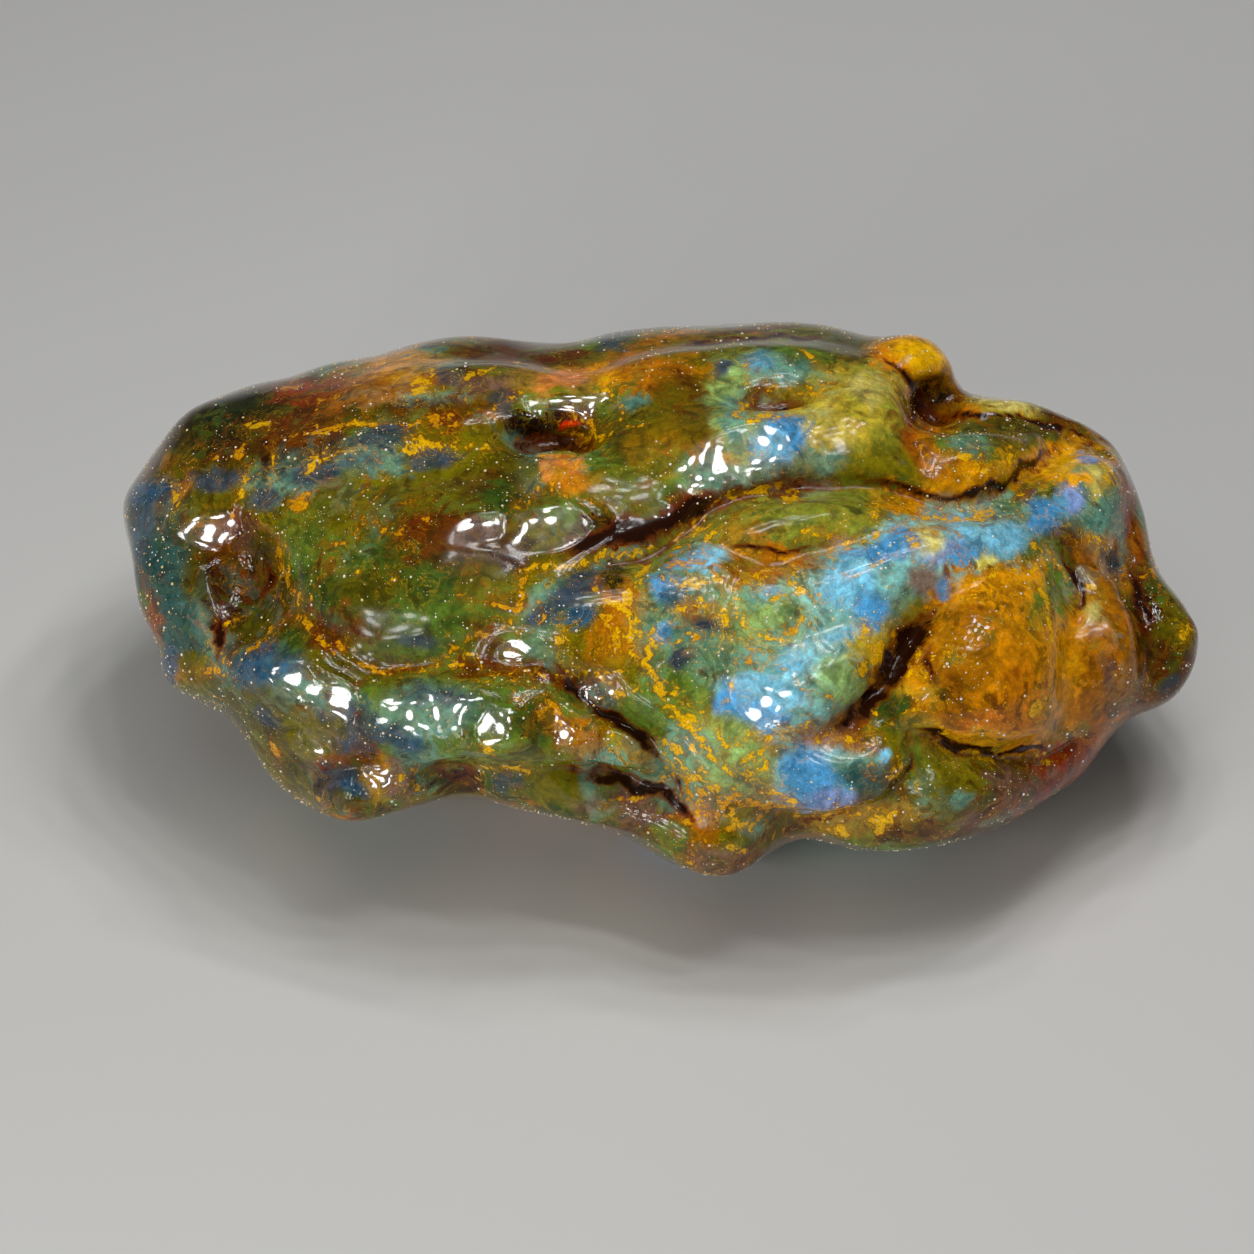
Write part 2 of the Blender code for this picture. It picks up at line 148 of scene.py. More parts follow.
# Lengths are in millimetres. Facing is 1 where the skin looks straight at the photo's side, 0 where
# it is seen edge on and less behind, and a pair of facings says where something fades in.
nuggetSet = {
    # mesh
    "voxel": 0.43,
    "smoothRounds": 9,
    "triangles": 197000,
    "thinRounds": 20,
    "thinFacing": (0.05, -0.2),
    # relief, with small waves over the whole nugget: height, width, seed
    "creaseDepth": 0.6,
    "creaseFacing": (-0.05, 0.3),
    "bumpSteepness": 1.2,
    "facingRounds": 30,
    "ripples": [(0.36, 7.5, 3), (0.05, 3.4, 4), (0.012, 1.6, 5)],
    "softenRounds": 2,
    # polished spots, whose edges are in half widths
    "domeRadius": 21.0,
    "domeEdge": (0.85, 1.6),
    "domeMost": 1.3,    # how far a dome may move the skin
    "domeFacing": 0.1,
    "domeRounds": 14,
    "coatEdge": (0.75, 1.15),
    # how far drawn things are bent: amount, width of the waves, seed
    "creaseBend": (0.35, 3.0, 11),
    "broadBend": (2.5, 9.0, 21),
    "patchBend": (4.5, 41, 3),    # width, seed and octaves, as its amount is a layer's own
    "seamBend": (0.45, 1.8, 43),
    # painting
    "paintFacing": (-0.25, 0.1),
    "tintLift": 1.38,    # how far the light falls short of white
    "tintPurity": 1.15,    # above 1 moves each tint away from grey
    "greyShare": (0.3, 0.6, 0.1),
    "brightShare": (0.3, 0.5, 0.2),
    "cloudSeeds": (45, 65),
    "cloudBend": (0.9, 3.0),
    "frayWidth": 1.7,
    "marblingRise": 0.4,
    "farRise": 0.3,
    # layers of patches: how far they are bent and frayed, how soft their edges are, and the
    # middle, depth, width and seed of the waves that make them uneven
    "zoneLayer": {"bend": 0.8, "fray": 0.75, "soft": 0.4, "uneven": (1.0, 0.35, 2.2, 9)},
    "hazeLayer": {"bend": 0.5, "fray": 0.35, "soft": 0.45, "uneven": (1.1, 0.3, 1.6, 13)},
    "seamReach": 3.0,    # how far from a seam its distance is still told
    "plainWarmth": 0.4,
    "seamHalf": 0.35,    # how much of its half width a seam is solid
    "fleckHalf": 0.6,
    "farSeamGap": 2.0,    # how far the drawn seams draw back on the far side
    # the net of seams all over: how far it draws back where it fades, where it fades, and how wide
    # the patches of it are, in widths of its waves
    "netGap": 2.5,
    "netFade": (-0.3, 0.5),
    "netPatches": 1.3,
    "netWarmthWidth": 9.0,
    # painted shade, in the hollows by how far a point lies below its surroundings, and along the folds
    "hollowRounds": 60,
    "hollowDepth": (0.2, 1.2),
    "paintedHollowShade": 0.6,
    "shadeHalf": 0.7,
    "shadeEnds": 3.0,
    # least, gain and most: threads by how far the two tints are apart, cloud by how bright they are
    "threads": (0.05, 2.6, 0.9),
    "cloud": (0.7, 0.8, 0.95),
    "threadRounds": 4,
    "warmthRounds": 3,
    "foldCloud": 0.9,
    "pebbleSoft": 0.4,
    "coatFacing": (-0.1, 0.25),
    "coatLoss": 0.88,    # what the near side lacks of the clear coat outside the polished spots
    # finish
    "ior": 1.54,
    "gloss": 0.1,
    "cloudyThrough": 0.12,
    "clearThrough": 0.85,
    "roughness": 0.16,
    "pebbleGloss": 0.12,
    "coatRoughness": 0.03,
    "absorb": (0.86, 0.6, 0.08),
    "absorbDensity": 110.0,
    "bumpHeight": 0.03,
    # noises: width, detail, roughness, distortion
    "wisp": (3.0, 3.0, 0.55, 2.0),
    "curl": (0.9, 3.0, 0.56, 0.7),
    "grit": (0.24, 2.0, 0.6),
    "pebble": (0.45, 0.0),
    "pebbleTops": (0.5, 0.75),
    # stops: place and brightness
    "wispMix": ((0.46, 0.0), (0.54, 1.0)),
    "wispShades": ((0.3, 0.6), (0.5, 1.0), (0.7, 1.5)),
    "curlShades": ((0.28, 0.74), (0.5, 1.0), (0.72, 1.3)),
    "gritShades": ((0.3, 0.88), (0.5, 1.0), (0.7, 1.15)),
    "goldShades": ((0.3, 0.55), (0.65, 1.3)),
    # how far the curls and the wisps fray the seams, and the curls their warmth and the painted shade of
    # the folds
    "curlFray": 2.4,
    "wispFray": 1.6,
    "warmthFray": 1.6,
    "foldFray": 0.9,
    # golden threads, and the glow and gold of the seams: where they fade, and how strong they are
    "wispLine": (0.003, 0.02),
    "curlLine": (0.003, 0.016),
    "curlLineShare": 0.6,
    "threadReach": (0.2, 2.2),
    "threadShare": 0.4,
    "threadBreaks": (0.34, 0.56),
    "glowEdge": (0.0, 0.7),
    "glowShare": 0.3,
    "goldEdge": (-0.12, 0.1),
    "goldShare": 0.85,
    # the painted shade of the folds: its rust-coloured edge and its dark
    "foldRust": (0.2, 0.5),
    "foldRustShare": 0.75,
    "foldDark": (0.42, 0.75),
}


def onlySelect(piece):
    bpy.ops.object.select_all(action="DESELECT")
    piece.select_set(True)
    bpy.context.view_layer.objects.active = piece


def applyModifier(piece, kind, **settings):
    onlySelect(piece)
    modifier = piece.modifiers.new(kind.lower(), kind)
    for name, value in settings.items():
        setattr(modifier, name, value)
    bpy.ops.object.modifier_apply(modifier=modifier.name)


def nuggetCopy():
    # a merged, rounded and evenly meshed copy of the CAD nugget
    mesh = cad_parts["amber_nugget"].data.copy()
    mesh.materials.clear()
    nugget = bpy.data.objects.new("blueAmberNugget", mesh)
    bpy.context.scene.collection.objects.link(nugget)
    onlySelect(nugget)
    bpy.ops.object.mode_set(mode="EDIT")
    bpy.ops.mesh.select_all(action="SELECT")
    bpy.ops.mesh.remove_doubles(threshold=0.01 * mm)
    bpy.ops.object.mode_set(mode="OBJECT")
    applyModifier(nugget, "SUBSURF", levels=1, render_levels=1)
    nugget.data.remesh_voxel_size = nuggetSet["voxel"] * mm
    bpy.ops.object.voxel_remesh()
    applyModifier(nugget, "SMOOTH", factor=0.5, iterations=nuggetSet["smoothRounds"])
    thinFarSide(nugget)
    print("nugget meshed", len(nugget.data.vertices))
    return nugget


def thinFarSide(nugget):
    # fewer points where the photo doesn't look, which leaves fine ones for the near side
    levels = 8
    surface = Surface(nugget)
    facing = surface.soften(surface.normals, nuggetSet["thinRounds"]) @ faceAxes[2]
    weights = ramp(*nuggetSet["thinFacing"], facing)
    group = nugget.vertex_groups.new(name="farSide")
    for level in range(1, levels + 1):
        picked = np.flatnonzero(np.round(weights * levels) == level)
        group.add(picked.tolist(), level / levels, "REPLACE")
    triangles = sum(len(polygon.vertices) - 2 for polygon in nugget.data.polygons)
    ratio = nuggetSet["triangles"] / triangles
    applyModifier(nugget, "DECIMATE", ratio=ratio, vertex_group="farSide")
    nugget.vertex_groups.clear()


class Surface:
    # the nugget's points as arrays, with what sculpting and painting need to know about them
    def __init__(self, piece):
        self.mesh = piece.data
        self.points = coordsOf(self.mesh)
        pairs = np.zeros(len(self.mesh.edges) * 2, dtype=np.int32)
        self.mesh.edges.foreach_get("vertices", pairs)
        self.ends = pairs.reshape(-1, 2)
        self.count = np.bincount(pairs, minlength=len(self.points)).astype(float)
        self.readNormals()

    def readNormals(self):
        flat = np.zeros(len(self.points) * 3, dtype=np.float32)
        self.mesh.vertices.foreach_get("normal", flat)
        self.normals = flat.reshape(-1, 3).astype(float)

    def soften(self, values, rounds):
        # each point's values drawn towards the mean of its neighbours'
        kept = 0.4
        a, b = self.ends.T
        flat = values.reshape(len(self.points), -1).copy()
        for _ in range(rounds):
            for column in range(flat.shape[1]):
                old = flat[:, column]
                total = np.bincount(a, old[b], len(old)) + np.bincount(b, old[a], len(old))
                flat[:, column] = kept * old + (1.0 - kept) * total / self.count
        return flat.reshape(values.shape)

    def push(self, heights):
        # moves each point outwards by millimetres
        self.points += self.normals * heights[:, None] * mm
        self.points[:, 2] = np.maximum(self.points[:, 2], 0.0)
        self.mesh.vertices.foreach_set("co", self.points.astype(np.float32).ravel())
        self.mesh.update()
        self.readNormals()

    def hollowness(self, rounds):
        # millimetres that a point lies below its wider surroundings
        return np.sum((self.soften(self.points, rounds) - self.points) * self.normals, axis=1) / mm


# creases on the near side: depth, half width, height of the raised lip, the side it is on, points
nearCreases = [
    (1.7, 0.8, 0.9, 1, [(-9, 2.2), (-5.5, 3.3), (-2, 4.2), (0.6, 5.2), (3, 7.1), (5.5, 8.9), (8, 10),
        (11, 10.7), (14, 11.2), (17, 11.7), (20, 11.9), (23, 11.4), (26, 10.4), (28.5, 9.4), (31, 9.2),
        (33.5, 10.2), (35.5, 11.6), (38, 13.4), (40.5, 15), (42.5, 15.9), (44.5, 15.2)]),
    (0.9, 0.6, 0.3, 1, [(6, 6), (8, 5), (10.5, 4.1), (13.5, 4.2), (16.5, 4.8), (20, 5.8), (23.5, 7),
        (27, 7.9), (31, 8.1), (34, 8.6)]),
    (3.4, 1.2, 0.7, -1, [(30.5, 1.2), (28.8, 0.3), (27, -1.2), (25.6, -2.6), (24.4, -4.2), (23.2, -6.2),
        (22, -8.4), (20.8, -10.2), (19.4, -11.8), (18, -12.8), (16, -13.6)]),
    (1.8, 0.55, 0.5, 1, [(24.6, -12.6), (26, -12.8), (27.5, -13.1), (29, -13.9), (30.5, -14.7), (32, -15.1),
        (34, -15.4), (36.5, -15.2), (38.8, -15.3), (41, -14.7), (43, -13.6)]),
    (1.7, 0.9, 0.4, 1, [(-10.2, -5.6), (-8.6, -7), (-7, -9), (-5.4, -10.6), (-3.4, -11.4), (-1.6, -12.4),
        (0.2, -14), (1.4, -15.8), (2, -17.2), (3.4, -19.4), (4.2, -21), (5.6, -22.6)]),
    (2.8, 1, 0.8, 1, [(-12.5, -16.9), (-9, -17), (-7, -16.6), (-4.6, -16.4), (-3, -17.2), (-1, -18),
        (1.2, -18.4), (2.6, -18.2)]),
    (1.3, 0.7, 0.1, 1, [(28, 18.3), (31, 18.4), (34, 18.3), (37, 18.3), (39.5, 17.8), (42, 16.9),
        (44.5, 15.9), (46.2, 14.6), (47.2, 12.6)]),
    (0.8, 0.7, 0.1, 1, [(40.2, 6.4), (40.8, 4.8), (41.6, 3), (42.3, 1), (42.1, -0.6), (41.7, -2.6),
        (41.2, -5), (40.8, -8), (40.6, -11)]),
    (0.7, 0.5, 0, 1, [(42.3, 0.9), (45, 0.2), (48.2, 0)]),
    (1.4, 0.9, 0.1, -1, [(47.4, 9), (47.6, 5), (47.7, 2.4), (48.2, -0.5), (49, -2.8), (50, -5),
        (50.2, -7.5)]),
    (0.7, 0.8, 0.3, 1, [(-44, 13.2), (-40, 13), (-36.5, 12.6), (-33.5, 13.6), (-30.5, 15.4), (-28, 17.6),
        (-24, 18.4), (-19, 17.6), (-14, 17.2)]),
    (0.9, 0.8, 0.4, -1, [(-42.6, -8), (-42, -5), (-39.5, -4), (-37.2, -2.6), (-35.6, -1.6), (-33.6, -1.8),
        (-32, -3.6), (-30.6, -5.4), (-27.5, -7.1), (-24, -7), (-21, -6.6), (-18, -5.6), (-15.5, -6.4),
        (-12.5, -6.8), (-9.6, -6.2)]),
    (0.7, 0.6, 0.2, 1, [(-14.2, -2.6), (-17, -4.4), (-19.5, -6)]),
    (1.3, 0.7, 0.5, 1, [(-36.2, -14.4), (-34, -15.4), (-32, -16.6), (-30, -16.4), (-28.4, -16),
        (-26.6, -16.2), (-25.2, -17.6), (-24, -19.4)]),
    (1, 0.8, 0, 1, [(-42.6, -10.9), (-40.4, -12.6), (-39, -13)]),
    (1.4, 0.8, 0.5, 1, [(-26, -13.5), (-24, -15.8), (-22.6, -16.6), (-19, -16.4), (-15.6, -16),
        (-12.5, -16.4)]),
    (1.4, 0.8, 0.4, 1, [(11.6, -19.4), (12.8, -21), (14.5, -22), (17.4, -21.8), (19.8, -20.6),
        (22.5, -19.8), (24.4, -18.2), (25.6, -16.4), (25.4, -14.6), (24.9, -13)]),
    (0.9, 0.6, 0.3, 1, [(3.5, -24.4), (6, -24.7), (9, -24.8), (12.6, -24.6)]),
    (0.5, 0.5, 0.3, 1, [(8.2, -1), (8, 1.5), (9.2, 3.4), (11.5, 3.9), (13.6, 3.3), (14.4, 1.6),
        (15.2, -0.2)]),
    (1, 0.7, 0.3, -1, [(-1.8, 0.8), (-1, 2.8), (0.4, 4.2), (1.6, 5.2)]),
    (0.5, 0.4, 0.3, 1, [(5, -14.5), (6.5, -16), (8.6, -17), (10.5, -17.6)]),
    (0.5, 0.4, 0.3, 1, [(4.6, -17.6), (7, -18.6), (9.5, -18.4)]),
    (0.5, 0.4, 0.3, 1, [(4.4, -19.6), (7, -19.4), (10, -19.8)]),
    (0.5, 0.6, 0, 1, [(8, -7), (7, -9), (7.6, -11.5), (9, -13.4), (10, -15)]),
    (1.4, 0.8, 0.5, 1, [(22.2, 25.6), (23.6, 24), (25.6, 22.6), (27.2, 21.6), (29.4, 21.4), (31, 20)]),
    (1.5, 1.3, 0, 1, [(25.6, 20.5), (26.2, 18), (26, 15.6), (26.8, 13.4), (27.6, 11.6)]),
    (0.8, 0.6, 0.3, 1, [(-13, 11.2), (-10.5, 10.6), (-7.5, 9.2), (-5, 7.2), (-3.4, 5.4)]),
]

# pits and bumps: middle x and u, half width along and across, turn in degrees, height or depth
nearBumps = [
    (-9.3, 16.3, 4.8, 1.7, 4, -2.6), (28.6, 19.4, 1.9, 1.7, -10, -3), (12.6, 19.7, 3.8, 0.9, 8, -1.2),
    (-40.2, 2.5, 3, 4.6, 12, -1.4), (-19.5, -17.9, 3.2, 1.1, 0, -1.4), (45.4, 3.2, 0.9, 1.3, 0, -0.6),
    (12.2, -1.2, 1.5, 1.4, 0, 0.6), (14.7, 0.5, 0.5, 1.2, 20, 0.4), (7.2, -0.9, 0.4, 1.6, -8, 0.4),
    (-41, 8.6, 0.6, 2.4, -8, 0.6), (53, -3.4, 1.4, 1.8, 0, 0.5), (-13.8, -18, 2.2, 1.6, 0, 0.6),
    (22.8, -11, 2.4, 1.6, 0, 0.7), (30.4, -9.6, 2.4, 2, 0, -0.5), (33, -18.4, 2.6, 1.6, 0, 0.5),
    (27.4, -18.4, 2.4, 1.8, 0, 0.5), (44.5, 5, 1.4, 1, -30, 0.4), (2.2, -5.8, 1.4, 1, 0, 0.4),
]

# smooth domes that mirror a group of lamps: middle x and u, half widths, turn, group
polishedSpots = [
    (-7.8, 19.2, 4.2, 1.9, 0, 0), (5.2, 12.8, 3.2, 2.6, 25, 0), (10.8, 14.4, 3.2, 2.8, 15, 0),
    (-10.2, 6.9, 4.2, 2.2, 5, 0), (-43.8, 7, 3, 2.4, 0, 1), (-35.6, -7.8, 3, 2, -20, 1),
    (-31.2, -10.2, 2.8, 2, -10, 1), (-23.4, -11.2, 3.4, 2.4, 8, 1), (-18.6, -10.6, 2.6, 2.2, 8, 1),
    (-14.4, -12.6, 2.6, 2.2, 0, 1), (-33.2, -14.2, 2.2, 1.8, -20, 1), (-26.2, -17.8, 2.2, 1.5, -10, 1),
    (-8.2, -13, 3, 2, -30, 1), (-3.2, -14.6, 1.9, 1.5, -10, 1), (-5, -9, 1.7, 1.7, -40, 1),
    (-13.2, -5, 1.7, 1.2, 0, 1), (11, -9.8, 3, 2.4, -20, 1), (-16.6, 6.9, 2.4, 1.4, 8, 0),
    (1.2, 8.6, 1, 0.8, 30, 0),
]


def creaseHeights(spots, creases):
    # on the lip's side a rounded edge drops into the crease, and the other side slopes down to it
    edgeWidth, slopeWidth, lipPlace, lipWidth = 1.4, 0.8, 2.2, 1.6    # in half widths
    endDepth, endLength = 0.2, 5.0
    total = np.zeros(len(spots))
    for depth, half, lip, lipSide, points in creases:
        gap, side, inner = lineDistance(spots, points)
        fade = endDepth + (1.0 - endDepth) * ramp(0.0, endLength * half, inner)
        across = gap / half
        edge = 1.0 - np.sqrt(1.0 - np.clip(1.0 - across / edgeWidth, 0.0, 1.0) ** 2)
        slope = np.exp(-across / slopeWidth)
        swell = lip * np.exp(-(((across - lipPlace) / lipWidth) ** 2))
        total += np.where(side == lipSide, swell - depth * edge, -depth * slope) * fade
    return total * nuggetSet["creaseDepth"]


def polish(surface):
    # tilts and rounds each polished spot so that the camera sees its lamps in it
    s = nuggetSet
    camera = cameraPlace()
    places = toFace(surface.points)
    seen = surface.facing > s["domeFacing"]
    surface.shine = np.zeros(len(places))
    for x, u, along, across, turn, group in polishedSpots:
        oval = ovalDistance(places, x, u, along, across, turn)
        level = places[(oval < 0.5) & seen, 2].mean()
        middle = fromFace(np.array([x, u, level]))
        lamp = np.array(studio["target"]) + lampWay(group) * studio["lampGroups"][group][0]
        ways = [(end - middle) / np.linalg.norm(end - middle) for end in (camera, lamp)]
        tilt = faceAxes @ (ways[0] + ways[1])
        dx, du = places[:, 0] - x, places[:, 1] - u
        wanted = level - (dx * tilt[0] + du * tilt[1]) / tilt[2] - (dx**2 + du**2) / (2 * s["domeRadius"])
        share = (1.0 - ramp(*s["domeEdge"], oval)) * seen
        places[:, 2] += share * np.clip(wanted - places[:, 2], -s["domeMost"], s["domeMost"])
        surface.shine = np.maximum(surface.shine, (1.0 - ramp(*s["coatEdge"], oval)) * seen)
    surface.points = fromFace(places)


def sculpt(surface):
    s = nuggetSet
    places = toFace(surface.points)
    broad = surface.soften(surface.normals, s["facingRounds"])
    broad /= np.linalg.norm(broad, axis=1)[:, None]
    surface.facing = broad @ faceAxes[2]
    spots = bend(places, *s["creaseBend"])[:, :2]
    heights = creaseHeights(spots, nearCreases)
    for *oval, height in nearBumps:
        heights += height * np.exp(-s["bumpSteepness"] * ovalDistance(spots, *oval) ** 3)
    total = ramp(*s["creaseFacing"], surface.facing) * heights
    for height, width, seed in s["ripples"]:
        total += height * wave(places, width, seed)
    surface.push(total)
    polish(surface)
    surface.points = surface.soften(surface.points, s["softenRounds"])
    polished = surface.soften(surface.points, s["domeRounds"])
    surface.points += surface.shine[:, None] * (polished - surface.points)
    surface.push(np.zeros(len(surface.points)))
    print("sculpted")


tints = {
    "blackBrown": (18, 7, 1), "darkBrown": (50, 22, 2), "brown": (90, 48, 4), "rust": (136, 54, 3),
    "ember": (190, 84, 10), "redGlow": (236, 66, 18), "orange": (212, 122, 14), "amberGold": (214, 148, 12),
    "honey": (168, 106, 12), "gold": (238, 188, 38), "paleGold": (246, 232, 120), "darkOlive": (40, 38, 10),
    "deepOlive": (78, 72, 16), "olive": (106, 98, 28), "yellowGreen": (182, 164, 76),
    "deepGreen": (58, 78, 30), "green": (92, 118, 52), "leafGreen": (130, 138, 64),
    "darkTeal": (28, 44, 26), "deepTeal": (46, 80, 76), "teal": (98, 142, 126), "seaTeal": (124, 174, 168),
    "paleTeal": (138, 166, 104), "slate": (60, 72, 82), "deepBlue": (44, 82, 106), "blue": (84, 146, 190),
    "cyan": (128, 190, 214), "violet": (128, 150, 196), "peach": (226, 140, 84), "mauve": (112, 84, 72),
    "tan": (148, 118, 60), "pale": (204, 192, 118),
}


def linear(tint):
    # a tint as amounts of light, by the usual curve for screen colours
    value = np.array(tints[tint]) / 255.0
    value = np.where(value < 0.04045, value / 12.92, ((value + 0.055) / 1.055) ** 2.4)
    value = nuggetSet["tintLift"] * value
    grey = value @ nuggetSet["greyShare"]
    return np.clip(grey + nuggetSet["tintPurity"] * (value - grey), 0.001, None)
